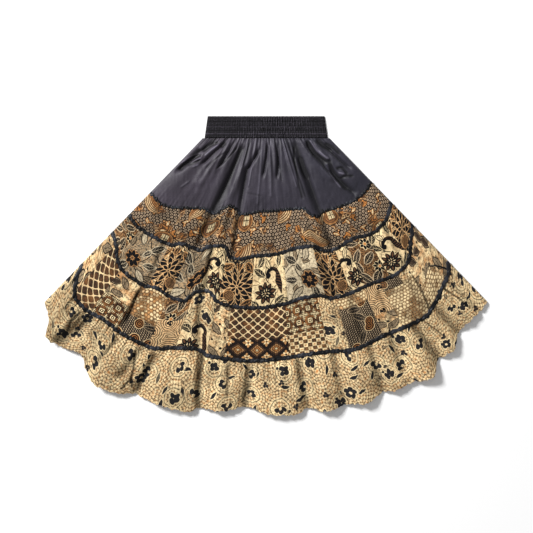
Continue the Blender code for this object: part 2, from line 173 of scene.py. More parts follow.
# The front's tiers, as the solids have them
Tier = namedtuple("Tier", "name top_mm foot_mm puff_mm gathers gather_mm gather_left seed")
TIERS = [Tier(*row) for row in (
    ("yoke", 3, 6, 4.5, 24, 2.6, 0, 1), ("tier_1", 6, 6, 2.5, 20, 1.6, 0, 2),
    ("tier_2", 6, 6, 2.8, 22, 1.8, 0, 3), ("tier_3", 6, 5.5, 2.8, 24, 2, 0, 4),
    ("ruffle", 5.5, 4.5, 3, 24, 3.2, 0.4, 5),
)]
LAST = len(TIERS) - 1
# How finely each tier's shell is made, and the size of the piece it was cut from, for front and back each
Make = namedtuple("Make", "rows puckers pucker_mm run_mm cut slot")
MAKES = [Make(*row) for row in (
    (84, 44, 0.9, 20, (0.52, 0.21), "black_cotton"), (44, 74, 1.1, 20, (0.75, 0.12), "dark_batik"),
    (48, 84, 1.1, 20, (0.9, 0.135), "floral_batik"), (54, 96, 1.2, 22, (1.15, 0.15), "patch_batik"),
    (60, 90, 1.9, 40, (1.25, 0.14), "cream_batik"),
)]
COLUMNS = {"front": 600, "back": 300}
# How the shells stand over their floors and meet at the side folds
SHELL_RISE = 1.1 * MM
BACK_SHELL = 0.9 * MM
GROUND_GAP = 0.3 * MM
SIDE_MEET = 1.25 * MM
# The yoke's gathers under the waistband: their strength, their pitch in degrees and how far down they run
YOKE_GATHER = 1.7
YOKE_GATHER_PITCH = 5.2
YOKE_GATHER_RUN = 38 * MM
YOKE_LIFT = 1.35
WAIST_RUN = 14 * MM
# Two crossed sets of wrinkles: lean, pitch and seed of the waves across the cloth, then of those down it
WRINKLES = ((0.35, 0.034, 51, -0.2, 0.06, 61), (-0.15, 0.021, 71, 0.3, 0.085, 81))
WRINKLE_RISE = 0.35 * MM
# The waves that make up an uneven one, as shares of its pitch
WANDER_SHARES = (0.55, 0.8, 1.0, 1.35, 1.9)
# The hem's small waves, with their pitch in degrees, and its turned-up edge
HEM_WOBBLE = 2.2 * MM
HEM_WOBBLE_PITCH = 1.5
HEM_FOLD = 9 * MM
HEM_STEP = 0.5 * MM
HEM_STEP_RUN = 2 * MM

# The patches of the second and third tiers, as they lie on the front: their sides, then where they start
# and end down the tier's height as a share of it. The back has the same patches the other way round.
Patch = namedtuple("Patch", "left_deg right_deg top foot print flip")
LEAF_PATCHES = (
    (-44, -38.7, 0, 1, "dark leaf", 1), (-38.7, -29.1, 0, 1, "grey leaf", 1),
    (-29.1, -23.3, 0, 1, "burst flower", -1), (-23.3, -17, 0, 1, "grey leaf", -1),
    (-17, -12, 0, 1, "cream scroll", -1), (-12, -3.7, 0, 1, "burst flower", 1),
    (-3.7, 5.4, 0, 1, "cream scroll", 1), (5.4, 14.8, 0, 1, "grey leaf", -1),
    (14.8, 21.1, 0, 1, "burst flower", -1), (21.1, 25, 0, 1, "cream scroll", -1),
    (25, 31.2, 0, 1, "dark leaf", 1), (31.2, 38, 0, 1, "cream scroll", 1),
    (38, 44, 0, 1, "burst flower", 1),
)
MIXED_PATCHES = (
    (-44, -41, 0, 1, "mottled", 1), (-41, -36.4, 0, 1, "lattice", 1), (-36.4, -30.2, 0, 0.5, "mottled", 1),
    (-36.4, -30.2, 0.5, 1, "ceplok", 1), (-30.2, -23.4, 0, 0.62, "basket", 1),
    (-30.2, -23.4, 0.62, 1, "dark dots", 1), (-23.4, -18.2, 0, 0.42, "dark leaf", 1),
    (-23.4, -18.2, 0.42, 1, "spirals", 1), (-18.2, -12, 0, 0.56, "swirls", 1),
    (-18.2, -12, 0.56, 1, "cream scroll", 1), (-12, -8.4, 0, 1, "mottled", -1),
    (-8.4, 4.7, 0, 0.6, "lattice", 1), (-8.4, 4.7, 0.6, 1, "lozenges", 1), (4.7, 12.8, 0, 0.6, "ceplok", 1),
    (4.7, 12.8, 0.6, 1, "checks", 1), (12.8, 16.9, 0, 1, "swirls", -1), (16.9, 24, 0, 0.24, "basket", -1),
    (16.9, 24, 0.24, 1, "dark dots", -1), (24, 28.3, 0, 0.6, "spirals", -1),
    (24, 28.3, 0.6, 1, "mottled", -1), (28.3, 33, 0, 0.22, "dark dots", 1),
    (33, 35.8, 0, 0.22, "swirls", 1), (28.3, 35.8, 0.22, 1, "basket", 1),
    (35.8, 40.6, 0, 0.55, "mottled", 1), (35.8, 40.6, 0.55, 1, "basket", -1),
    (40.6, 44, 0, 1, "mottled", 1),
)
WHOLE = (-HALF_ANGLE, HALF_ANGLE, 0, 1)
PATCHES = [[Patch(*row) for row in rows] for rows in (
    ((*WHOLE, "yoke cotton", 1),), ((*WHOLE, "rings", 1),),
    LEAF_PATCHES, MIXED_PATCHES, ((*WHOLE, "swirls", 1),),
)]
# The groove that each join of two patches makes
GROOVE_DEPTH = {"front": 0.5 * MM, "back": 0.25 * MM}
GROOVE_WIDTH = 1.6 * MM

# The four ribbons over the seams, from the yoke's down
Trim = namedtuple("Trim", "width_mm ruche_mm ruche_pitch_mm wobble_mm seed")
TRIMS = [Trim(*row) for row in (
    (7, 0.7, 11, 2.8, 11), (9.5, 0.6, 17, 1.7, 12), (9.5, 0.6, 18, 1.7, 13), (10.5, 0.6, 19, 1.7, 14),
)]
TRIM_COLUMNS = 900
TRIM_ACROSS = 9
TRIM_LIFT = 1.0 * MM
TRIM_CLEAR_DEG = 0.2
BACK_TRIM_FLOOR = 0.25 * MM
BACK_RUCHE = 0.6 * MM
# The lowest trim's loose end: the places that its middle runs through, as angle_deg and reach_mm
TAIL = (
    (42.3, 712), (42.6, 704), (42.6, 696), (42.3, 687), (41.8, 677), (41.3, 669), (40.6, 662), (40, 657),
)
TAIL_COLUMNS = 70
TAIL_STEP = 9 * MM
TAIL_WIDTH = 5.2 * MM

# The waistband's shirring. Places down the band are shares of its depth.
BAND_ROWS = 70
BAND_COLUMNS = 624
BAND_STITCH_ROWS = (0.10, 0.27, 0.475, 0.68, 0.87)
BAND_VALLEY = 1.7 * MM
BAND_COURSES = 6.2
BAND_RIB_PITCH = 6.2 * MM
# How the ribs drift aside: how far in metres, then the radians from course to course and to a metre
BAND_DRIFT = ((0.0012, 2.4, 40), (0.0016, 1.7, 90))
BAND_RIB_SWAY = 4 * MM
# The ribs are strongest near the middle: where, and how far that reaches, as shares of the half width
BAND_STRONG_AT = 0.15
BAND_STRONG_REACH = 0.45
BAND_SIDE_ROLL = 9 * MM
BAND_BASE = 2.2 * MM
BAND_EDGE = 0.35 * BAND_BASE
BAND_CHANNEL_RISE = 0.9 * MM
BAND_RIB_RISE = 1.1 * MM
BAND_BUNCH_RISE = 0.9 * MM
BAND_FOOT_SCALLOP = 1.3 * MM
BAND_TOP_SCALLOP = 0.4 * MM

# The stitches, and how far in from a ribbon's edge they run
STITCH_PITCH = 3.6 * MM
STITCH_LENGTH = 2.7 * MM
STITCH_THICK = 0.45 * MM
STITCH_INSET_MM = 1.6
# A stitch's rings of corners along its length: where each is, and its size
STITCH_RINGS = ((-0.5, 0.25), (-0.2, 1.0), (0.2, 1.0), (0.5, 0.25))
STITCH_SIDES = 4
# How many points of a seam line have no stitches at each side fold
STITCH_END = 12
BACK_STITCH_LEVEL = 0.35 * MM
HEM_STITCH_LIFT = 0.1 * MM

# Colours of the cloths, as the photograph's red, green and blue from 0 to 255
BLACK = (16, 13, 15)
INK = (40, 38, 40)
DARK = (50, 35, 27)
BROWN = (96, 66, 44)
TAN = (206, 152, 96)
ORANGE = (210, 138, 72)
CREAM = (255, 228, 176)
BEIGE = (204, 186, 154)
FAWN = (234, 214, 176)
TAUPE = (138, 120, 96)
SAND = (224, 178, 124)
GREY = (160, 138, 108)
PALE = (210, 184, 146)
RING = (204, 176, 144)
# The yoke's cotton: a copy with painted light for its left, one with painted shade for its right, a paler
# worn tone, and a painted highlight for its crests
YOKE_LIT_LEFT = (57, 51, 61)
YOKE_SHADED_RIGHT = (40, 39, 50)
YOKE_WORN = (74, 68, 79)
YOKE_CREST_HIGHLIGHT = (112, 107, 122)
# The satin's black, and the blue grey of its painted highlights
SATIN_BLACK = (8, 8, 11)
SATIN_PAINTED_HIGHLIGHT = (46, 48, 55)
# The elastic's blacks, and a pale grey for its lint and for the painted highlights on its ribs and across
# it
ELASTIC_BLACK = (11, 10, 12)
ELASTIC_GREY = (22, 20, 25)
ELASTIC_LINT_AND_HIGHLIGHT = (88, 82, 94)
BLACK_THREAD = ((18, 18, 22), (7, 7, 9))
BROWN_THREAD = ((150, 116, 78), (84, 60, 40))
# How far all cloths darken: in cloudy places, with painted shade deep in the front's folds and creases, and
# along the borders of patches
CLOUD_DARK = 0.35
FOLD_PAINTED_SHADE = 0.78
BORDER_DARK = 0.6
SHEEN_ROUGHNESS = 0.5

# Sizes on the prints in mm, and the numbers of the patches from which two of them are paler
RING_PITCH = 9.2
RING_ROW = 7.9
SWIRL_PITCH = 7.4
WEAVE_PITCH = 0.9
BASKET_PITCH = 9.4
BASKET_ROW = 8.0
CEPLOK_PITCH = 31
PALE_BASKETS = 16
PALE_LEAVES = 4
# Leaves on the prints with scrolls and with branches: the middle's place, turn, length and width in mm
SCROLL_LEAVES = (
    (-20, 46, 62, 34, 17, True), (-24, 20, 145, 36, 17, True), (-2, 40, 118, 28, 12, False),
    (27, -48, 30, 34, 17, True), (-32, -54, 140, 30, 14, True), (30, 46, 80, 34, 15, True),
)
GREY_LEAVES = (
    (22, 36, 40, 38, 18, True), (-24, 44, 120, 36, 17, False), (26, -12, 20, 34, 16, True),
    (16, -46, 140, 38, 17, False), (-30, -50, 70, 32, 15, True), (4, 14, 60, 28, 13, True),
)
# Rings of petals of the large blossom, the outer ones first: count, start, end, width, turn
BURST_PETALS = ((12, 19, 50, 12.5, 0.0), (10, 10, 36, 10.5, 0.5), (7, 3, 20, 8, 0.0))

# The studio. Each light has a place, a power and a size, and all of them look at the middle.
FLOOR_SIZE = 40.0
FLOOR_LEVEL = -0.2 * MM
FLOOR_SHADES = (0.93, 0.97)
FLOOR_GRAIN = 60
LIGHTS = {"key_light": ((-4.7, 3.6, 3.6), 830.0, 1.7), "fill_light": ((2.5, -2.0, 3.0), 14.0, 2.5)}
WORLD_STRENGTH = 0.32
# The camera, which frames the photograph's 533 pixels of 2.6 mm
VIEW_MIDDLE = (0.0013, -0.0026)
VIEW_HEIGHT = 4.0
VIEW_WIDTH = 533 * 2.6 * MM
SENSOR_WIDTH = 36


def ease(share):
    share = np.clip(share, 0, 1)
    return share * share * (3 - 2 * share)


def along(table, column, angle):
    """One column of a table at each angle, read off a smooth curve that never overshoots its rows."""
    x = np.array([row[0] for row in table], float)
    y = np.array([row[column] for row in table], float)
    step = np.diff(x)
    rise = np.diff(y) / step
    product = rise[:-1] * rise[1:]
    slope = np.zeros(len(x))
    slope[0] = rise[0]
    slope[-1] = rise[-1]
    same_way = product > 0
    slope[1:-1][same_way] = 2 * product[same_way] / (rise[:-1] + rise[1:])[same_way]
    angle = np.clip(angle, x[0], x[-1])
    i = np.clip(np.searchsorted(x, angle) - 1, 0, len(step) - 1)
    share = (angle - x[i]) / step[i]
    level = y[i] + (y[i + 1] - y[i]) * ease(share)
    bend = slope[i] * (1 - share) - slope[i + 1] * share
    return level + step[i] * share * (1 - share) * bend


def wander(x, pitch, seed):
    """An uneven wave from about -1 to 1 whose bumps are about one pitch apart."""
    random = np.random.default_rng(seed)
    total = np.zeros(np.shape(x))
    for share in WANDER_SHARES:
        turn, start = random.uniform(0.85, 1.15), random.uniform(0, TURN)
        total = total + np.sin(TURN * x * share * turn / pitch + start)
    return total / 3


def front_reach(k, angle):
    """Reach of the k-th edge down the front: 0 is the waist, 1 to 4 are the seams and 5 is the hem."""
    if k == 0:
        return BAND_FOOT / np.cos(np.radians(angle))
    if k == len(TIERS):
        fade = ease((HALF_ANGLE - np.abs(angle)) / 2)
        return along(HEM, REACH, angle) * MM + HEM_WOBBLE * fade * wander(angle, HEM_WOBBLE_PITCH, 21)
    return along(FRONT_SEAMS[k - 1], REACH, angle) * MM


def back_reach(k, angle):
    """Reach of the same edges down the back: each is one even curve."""
    if k == 0:
        return front_reach(0, angle)
    left, right = front_reach(k, -HALF_ANGLE), front_reach(k, HALF_ANGLE)
    if k == len(TIERS):
        left, right, middle = BACK_HEM_SIDE, BACK_HEM_SIDE, BACK_HEM_MIDDLE
    else:
        middle = BACK_SEAM_MIDDLES[k - 1]
    side = left + (right - left) * (angle + HALF_ANGLE) / (2 * HALF_ANGLE)
    return side + (middle - side) * (1 - (angle / HALF_ANGLE) ** 2)


def pressed(line, angle, reach):
    """Distance from a fold's line, to its right, and how much of the fold is there at its ends."""
    top, foot = line.top_mm * MM, line.foot_mm * MM
    down = np.clip((reach - top) / (foot - top), 0, 1)
    centre = line.top_deg + (line.foot_deg - line.top_deg) * down
    ends = ease((reach - top) / FOLD_END + 0.5) * ease((foot - reach) / FOLD_END + 0.5)
    return np.radians(angle - centre) * reach, ends


def height_left(angle, reach):
    """What the folds leave of the cloth's height: 1 between them, near 0 in deep ones, over 1 on ridges."""
    left = np.ones(np.shape(angle))
    for fold in FOLDS:
        aside, ends = pressed(fold, angle, reach)
        width = np.where(aside < 0, fold.left_mm, fold.right_mm) * MM
        left = left * (1 - fold.depth * ends * np.exp(-((aside / width) ** 2)))
    return left


def spots_of(stops):
    """Places given as angle_deg and reach_mm, as metres to the right of the apex and below it."""
    return [(far * MM * math.sin(math.radians(turn)), far * MM * math.cos(math.radians(turn)))
            for turn, far in stops]


def creased(angle, reach):
    """Height that the finer creases add."""
    total = np.zeros(np.shape(angle))
    x, y = reach * np.sin(np.radians(angle)), reach * np.cos(np.radians(angle))
    for width, height, *stops in CREASES:
        spots = spots_of(stops)
        for (x0, y0), (x1, y1) in zip(spots, spots[1:]):
            length = math.hypot(x1 - x0, y1 - y0)
            run_x, run_y = (x1 - x0) / length, (y1 - y0) / length
            ahead = (x - x0) * run_x + (y - y0) * run_y
            aside = (x - x0) * run_y - (y - y0) * run_x
            ends = ease(ahead / CREASE_END + 0.5) * ease((length - ahead) / CREASE_END + 0.5)
            total = total + height * MM * ends * np.exp(-((aside / (width * MM)) ** 2))
    return total


def gather_wave(tier, angle):
    """Uneven gathers round one tier, from 0 between them to 1 on the strongest crests."""
    turn = math.pi * (angle + HALF_ANGLE) / (2 * HALF_ANGLE)
    drift = 0.35 * np.sin(5 * turn + 2.1 * tier.seed) + 0.25 * np.sin(11 * turn + tier.seed)
    strength = 0.75 + 0.25 * np.sin(7 * turn + 1.3 * tier.seed)
    return strength * (0.5 - 0.5 * np.cos(2 * tier.gathers * turn + TURN * drift))


def puckers(k, angle, share, height):
    """Small puckers that the sewing draws along tier k's edges, finer and sharper than its gathers."""
    make = MAKES[k]
    pitch, run = 2 * HALF_ANGLE / make.puckers, make.run_mm * MM
    top = wander(angle, pitch, 31 + k) * np.exp(-share * height / run)
    foot = wander(angle, pitch, 41 + k) * np.exp(-(1 - share) * height / run)
    if k == 0:
        gather = wander(angle, YOKE_GATHER_PITCH, 32) * np.exp(-share * height / YOKE_GATHER_RUN)
        top = 0.8 * top + YOKE_GATHER * gather
    if k == LAST:
        foot = 0.25 * foot
    return make.pucker_mm * MM * (top + 0.6 * foot)


def wrinkles(k, angle, reach):
    """Soft uneven wrinkles over the whole cloth."""
    across = np.radians(angle) * reach
    total = 0
    for lean, pitch, seed, down_lean, down_pitch, down_seed in WRINKLES:
        down = wander(reach + down_lean * across, down_pitch, down_seed + k)
        total = total + wander(across + lean * reach, pitch, seed + k) * down
    return WRINKLE_RISE * total


def side_roll(angle, reach):
    """How far the cloth has risen from its side fold: 0 at the fold, 1 past the roll."""
    from_side = np.radians(HALF_ANGLE - np.abs(angle)) * reach
    return np.sqrt(1 - (1 - np.clip(from_side / SIDE_ROLL, 0, 1)) ** 2)


def front_height(k, angle, share):
    """Height of the front's shell on tier k, at that share of the tier's height."""
    tier = TIERS[k]
    top, foot = front_reach(k, angle), front_reach(k + 1, angle)
    reach = top + (foot - top) * share
    lift = tier.top_mm + (tier.foot_mm - tier.top_mm) * share + tier.puff_mm * 4 * share * (1 - share)
    gather = ease(share / GATHER_RUN_IN) * (1 - (1 - tier.gather_left) * share)
    lift = lift + tier.gather_mm * gather * gather_wave(tier, angle)
    if k == 0:
        lift = lift * (1 + (YOKE_LIFT - 1) * ease(4 * share * (1 - share)))
        lift = lift * (0.5 + 0.5 * ease((reach - top) / WAIST_RUN))
    if k == LAST:
        lift = lift + along(HEM, LIFT, angle) * ease(share)
    fine = puckers(k, angle, share, foot - top) + creased(angle, reach) + wrinkles(k, angle, reach)
    if k == LAST:
        fine = fine + HEM_STEP * ease((reach - foot + HEM_FOLD) / HEM_STEP_RUN)
    roll = side_roll(angle, reach)
    low = SIDE_MEET + (FRONT_FLOOR + SHELL_RISE - SIDE_MEET) * np.clip(roll * 3, 0, 1)
    return low + np.maximum(lift * MM * height_left(angle, reach) * roll + fine * np.clip(roll, 0, 1), 0)


def fold_shade_and_highlight(angle, reach):
    """How deep in a fold each point of the front lies, up to 1, or below 0 how far out on a crest: painted
    shade and painted highlight.
    """
    deep = np.clip(1 - height_left(angle, reach), 0, 1) ** 1.3
    return np.clip(deep + np.clip(-creased(angle, reach) / CREASE_DARK, -0.8, 0.95), -1, 1)


def front_top(angle, reach):
    """Height of the front's shells at points of the fan."""
    height = np.zeros(np.shape(angle))
    for k in range(len(TIERS)):
        top, foot = front_reach(k, angle), front_reach(k + 1, angle)
        share = (reach - top) / (foot - top)
        inside = (share >= 0) & (share <= 1)
        height = np.where(inside, front_height(k, angle, np.clip(share, 0, 1)), height)
    return height


def back_height(k, angle, share, height):
    """Height of the back's shell on tier k: it lies flat, and its small creases rise off the ground."""
    reach = back_reach(k, angle) + height * share
    fine = 0.4 * puckers(k, angle + 180, share, height) + 0.5 * wrinkles(k, angle + 90, reach)
    return np.clip(BACK_SHELL + fine, GROUND_GAP, BACK_CLOTH)


def place(angle, reach, z):
    """Points in the frame from the fan's angle, reach and height, each an array of the same shape."""
    turn = np.radians(angle)
    return np.stack([APEX[0] + reach * np.sin(turn), APEX[1] - reach * np.cos(turn), z], axis=-1)


def columns_of(count):
    return np.linspace(-HALF_ANGLE, HALF_ANGLE, count + 1)


def border_distance(patches, angle, share, middle_reach, height):
    """Distance of each point from the nearest border between two patches."""
    nearest = np.full(np.shape(angle), 1.0)
    for patch in patches:
        inside = (angle >= patch.left_deg) & (angle <= patch.right_deg)
        inside &= (share >= patch.top) & (share <= patch.foot)
        left = np.radians(angle - patch.left_deg) * middle_reach
        right = np.radians(patch.right_deg - angle) * middle_reach
        sides = [left if patch.left_deg > -HALF_ANGLE else right,
                 right if patch.right_deg < HALF_ANGLE else left]
        if patch.top > 0:
            sides.append((share - patch.top) * height)
        if patch.foot < 1:
            sides.append((patch.foot - share) * height)
        nearest = np.where(inside, np.min(sides, axis=0), nearest)
    return nearest


def add_object(name, data):
    made = bpy.data.objects.new(name, data)
    bpy.context.scene.collection.objects.link(made)
    return made


def smooth_mesh(name, vertices, faces):
    mesh = bpy.data.meshes.new(name)
    mesh.from_pydata(vertices, [], faces)
    mesh.polygons.foreach_set("use_smooth", np.ones(len(mesh.polygons), bool))
    return add_object(name, mesh)


def set_values(piece, name, domain, values):
    piece.data.attributes.new(name, "FLOAT", domain).data.foreach_set("value", np.ravel(values))


def set_cloth_map(piece, u, v):
    """The cloth map of a piece, in metres, at each corner of its faces."""
    piece.data.uv_layers.new(name="cloth").data.foreach_set("uv", np.stack([u, v], axis=-1).ravel())


def dress(piece, node=None):
    """Makes a finished piece a part of the object, in place of its solid if it has one."""
    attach(piece, "root")
    if node:
        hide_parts(node)
    return piece


def grid_mesh(name, points):
    """A sheet of quads through points[row][column], with its rows from the waist down."""
    rows, columns = points.shape[:2]
    index = np.arange(rows * columns).reshape(rows, columns)
    corners = np.stack([index[:-1, :-1], index[1:, :-1], index[1:, 1:], index[:-1, 1:]], axis=-1)
    return smooth_mesh(name, points.reshape(-1, 3).tolist(), corners.reshape(-1, 4).tolist())


def at_corners(values):
    """Values on a grid's points, as its faces' corners take them."""
    corners = [values[:-1, :-1], values[1:, :-1], values[1:, 1:], values[:-1, 1:]]
    return np.stack(corners, axis=-1).reshape(-1, 4)


def lay_print(piece, patches, angle, share, middle_reach, height, clothes):
    """Gives a shell its cloth map, from the middle of each patch, and each patch its own cloth."""
    corner_angle, corner_share = at_corners(angle), at_corners(share)
    face_angle, face_share = corner_angle.mean(axis=1), corner_share.mean(axis=1)
    across, up = np.zeros_like(corner_angle), np.zeros_like(corner_angle)
    look, number = np.zeros(len(face_angle), int), np.zeros(len(face_angle))
    names = sorted({patch.print for patch in patches})
    for name in names:
        piece.data.materials.append(clothes[name])
    for i, patch in enumerate(patches):
        inside = (face_angle >= patch.left_deg) & (face_angle <= patch.right_deg)
        inside &= (face_share >= patch.top) & (face_share <= patch.foot)
        middle = (patch.left_deg + patch.right_deg) / 2
        level = (patch.top + patch.foot) / 2
        across[inside] = np.radians(corner_angle[inside] - middle) * middle_reach * patch.flip
        up[inside] = (level - corner_share[inside]) * height
        look[inside] = names.index(patch.print)
        number[inside] = i
    set_cloth_map(piece, across, up)
    piece.data.polygons.foreach_set("material_index", look)
    set_values(piece, "patch", "FACE", number)


def tier_shell(k, side, clothes):
    """One tier's cloth, front or back, in the place of its solid."""
    rows = MAKES[k].rows if side == "front" else MAKES[k].rows // 2
    share, angle = np.meshgrid(np.linspace(0, 1, rows + 1), columns_of(COLUMNS[side]), indexing="ij")
    reach_of = front_reach if side == "front" else back_reach
    top, foot = reach_of(k, angle), reach_of(k + 1, angle)
    reach = top + (foot - top) * share
    height = float(np.mean(foot - top))
    middle_reach = float(np.mean(top + foot)) / 2
    patches = PATCHES[k]
    if side == "front":
        z = front_height(k, angle, share)
    else:
        patches = [p._replace(left_deg=-p.right_deg, right_deg=-p.left_deg, flip=-p.flip) for p in patches]
        z = back_height(k, angle, share, foot - top)
    border = border_distance(patches, angle, share, middle_reach, height)
    z = z - GROOVE_DEPTH[side] * np.exp(-((border / GROOVE_WIDTH) ** 2))
    name = f"{TIERS[k].name}_{side}"
    piece = grid_mesh(f"{name}_cloth", place(angle, reach, z))
    lay_print(piece, patches, angle, share, middle_reach, height, clothes)
    set_values(piece, "border", "POINT", border)
    if side == "front":
        set_values(piece, "fold_shade_and_highlight", "POINT", fold_shade_and_highlight(angle, reach))
    return dress(piece, name)


def linear(colour):
    """A 0 to 255 colour as the linear one that the nodes take."""
    shares = [c / 255 for c in colour]
    return (*[s / 12.92 if s <= 0.04045 else ((s + 0.055) / 1.055) ** 2.4 for s in shares], 1.0)


def feed(tree, socket, item):
    if isinstance(item, Value):
        tree.links.new(item.socket, socket)
    elif isinstance(item, bpy.types.NodeSocket):
        tree.links.new(item, socket)
    else:
        socket.default_value = item


def add_node(tree, kind, feeds, **settings):
    """A new node with its settings, and with what goes into each of its inputs."""
    node = tree.nodes.new(f"ShaderNode{kind}")
    for name, setting in settings.items():
        setattr(node, name, setting)
    for socket, item in feeds.items():
        feed(tree, node.inputs[socket], item)
    return node


def calc(tree, operation, *items, clamp=False):
    node = add_node(tree, "Math", dict(enumerate(items)), operation=operation, use_clamp=clamp)
    return Value(tree, node.outputs[0])


def step(operation):
    """A method of Value that feeds it, and what it is given, into one node."""
    return lambda value, *others: calc(value.tree, operation, value, *others)


class Value:
    """A number that one material's nodes work out over a surface, so that a print reads as arithmetic."""

    __add__, __sub__, __mul__, __truediv__ = map(step, ("ADD", "SUBTRACT", "MULTIPLY", "DIVIDE"))
    floor, fract, abs, sin, cos = map(step, ("FLOOR", "FRACT", "ABSOLUTE", "SINE", "COSINE"))
    least, most = map(step, ("MINIMUM", "MAXIMUM"))

    def __init__(self, tree, socket):
        self.tree = tree
        self.socket = socket

    def __rsub__(self, other):
        return calc(self.tree, "SUBTRACT", other, self)

    def under(self, edge, soft=0.35):
        """1 where the number is under the edge, 0 over it, with a soft step between."""
        return (edge - self).ramp(0.5 / soft, 0.5)

    def over(self, edge, soft=0.35):
        return (self - edge).ramp(0.5 / soft, 0.5)

    def near(self, level, width, soft=0.35):
        """1 on a line of that width where the number is at that level."""
        return (self - level).abs().under(width / 2, soft)

    def ramp(self, slope, start):
        """A straight line of the number, kept from 0 to 1."""
        return calc(self.tree, "MULTIPLY_ADD", self, slope, start, clamp=True)


def hypot(x, y):
    return calc(x.tree, "SQRT", x * x + y * y)


def polar(x, y):
    """Distance from the middle, and the turn round it in radians."""
    return hypot(x, y), calc(x.tree, "ARCTAN2", y, x)


class Cloth:
    """A cloth's material while its print is painted on it, in layers over its ground."""

    def __init__(self, name):
        self.material = bpy.data.materials.new(name)
        self.material.use_nodes = True
        self.tree = self.material.node_tree
        self.shader = self.tree.nodes["Principled BSDF"]
        spot = self.add("UVMap", {}, uv_map="cloth").outputs[0]
        scaled = self.add("VectorMath", {0: spot, "Scale": 1 / MM}, operation="SCALE")
        self.u, self.v = self.values("SeparateXYZ", {0: scaled.outputs[0]})
        self.patch = self.attribute("patch")
        self.colour = None

    def add(self, kind, feeds, **settings):
        return add_node(self.tree, kind, feeds, **settings)

    def values(self, kind, feeds, **settings):
        """The first two numbers that a new node gives."""
        return [Value(self.tree, socket) for socket in self.add(kind, feeds, **settings).outputs[:2]]

    def attribute(self, name):
        return Value(self.tree, self.add("Attribute", {}, attribute_name=name).outputs["Fac"])

    def vector(self, x, y, z=0.0):
        return self.add("CombineXYZ", {0: x, 1: y, 2: z}).outputs[0]

    def noise(self, size, detail=2, seed=0, x=None, y=None):
        """Cloudy noise from 0 to 1 with lumps of about that size, other on each patch."""
        x, y = x or self.u, y or self.v
        spot = self.vector(x / size, y / size, self.patch * 3.7 + seed)
        return self.values("TexNoise", {"Vector": spot, "Scale": 1.0, "Detail": detail})[0]

    def cells(self, x, y, pitch, jitter):
        """The spot in the nearest of many scattered cells, from its middle, and the cell's two chances."""
        x, y = x / pitch + self.patch * 7.3, y / pitch
        feeds = {"Vector": self.vector(x, y), "Scale": 1.0, "Randomness": jitter}
        cell = self.add("TexVoronoi", feeds, voronoi_dimensions="2D")
        middle_x, middle_y = self.values("SeparateXYZ", {0: cell.outputs["Position"]})
        chances = self.values("SeparateColor", {0: cell.outputs["Color"]})
        return (x - middle_x) * pitch, (y - middle_y) * pitch, *chances

    def chance(self, x, y):
        """A random number from 0 to 1 for each whole x and y."""
        spot = self.vector(x, y, self.patch)
        return self.values("TexWhiteNoise", {"Vector": spot}, noise_dimensions="3D")[0]

    def mix(self, one, other, share, blend="MIX"):
        one, other = [linear(item) if isinstance(item, tuple) else item for item in (one, other)]
        return self.add("Mix", {0: share, 6: one, 7: other}, data_type="RGBA", blend_type=blend).outputs[2]

    def ground(self, one, other=None, share=None):
        self.colour = one if other is None else self.mix(one, other, share)

    def paint(self, colour, mask):
        self.colour = self.mix(self.colour, colour, mask)

    def shade(self, amount, mask):
        """Darkens the cloth by that share where the mask is 1."""
        self.colour = self.mix(self.colour, [1 - amount] * 3 + [1], mask, "MULTIPLY")

    def finish(self, roughness, bumps, specular=0.5, sheen=0.0):
        """Sets the shader; bumps are (height, depth in metres) pairs, each height a Value from 0 to 1."""
        self.shade(CLOUD_DARK, self.noise(70, 3, 5).under(0.46, 0.16))
        # Painted shade deep in the front's folds and creases
        self.shade(FOLD_PAINTED_SHADE, self.attribute("fold_shade_and_highlight"))
        self.shade(BORDER_DARK, (self.attribute("border") * (1 / MM)).under(0.5, 0.5))
        under = {}
        for height, depth in bumps:
            under = {"Normal": self.add("Bump", {"Distance": depth, "Height": height, **under}).outputs[0]}
        look = {"Base Color": self.colour, "Roughness": roughness, "Specular IOR Level": specular,
                "Sheen Weight": sheen, "Sheen Roughness": SHEEN_ROUGHNESS, **under}
        for socket, item in look.items():
            feed(self.tree, self.shader.inputs[socket], item)
        return self.material

    def weave(self, pitch):
        """A plain weave's height, over and under, from 0 to 1."""
        over = (self.u * (TURN / pitch)).sin() * (self.v * (TURN / pitch)).sin()
        return over * 0.5 + 0.5


def turned(x, y, degrees):
    """A point's place on axes that are turned by so many degrees."""
    c, s = math.cos(math.radians(degrees)), math.sin(math.radians(degrees))
    return x * c + y * s, y * c - x * s


def spun(x, y, turns):
    """The same for a turn that varies over the cloth, counted in whole turns."""
    angle = turns * TURN
    c, s = angle.cos(), angle.sin()
    return x * c + y * s, y * c - x * s


def leaf(x, y, length, width):
    """Below 0 inside a pointed leaf that lies along x."""
    return y.abs() + x * x * (2 * width / length**2) - width / 2


def sector(x, y, count, turn):
    """The place within the nearest of many equal sectors round the middle: out along it, and aside."""
    radius, bearing = polar(x, y)
    aside = ((bearing * (count / TURN) + turn).fract() - 0.5) * (TURN / count)
    return radius * aside.cos(), radius * aside.sin()


def petals(x, y, count, start, end, width, turn=0.0):
    """Below 0 inside pointed petals that stand round the middle."""
    out, aside = sector(x, y, count, turn)
    return leaf(out - (start + end) / 2, aside, end - start, width)


def clover(x, y, count, reach, size, turn=0.0):
    """Below 0 inside any of the round lobes that stand round the middle."""
    out, aside = sector(x, y, count, turn)
    return hypot(out - reach, aside) - size


def tiled(x, pitch):
    """The place across one of many equal tiles, from its middle."""
    return ((x / pitch + 0.5).fract() - 0.5) * pitch


def stripes(x, pitch, share, soft=0.12):
    """1 on even stripes that fill that share of their pitch."""
    return (x / pitch).fract().near(0.5, share, soft)


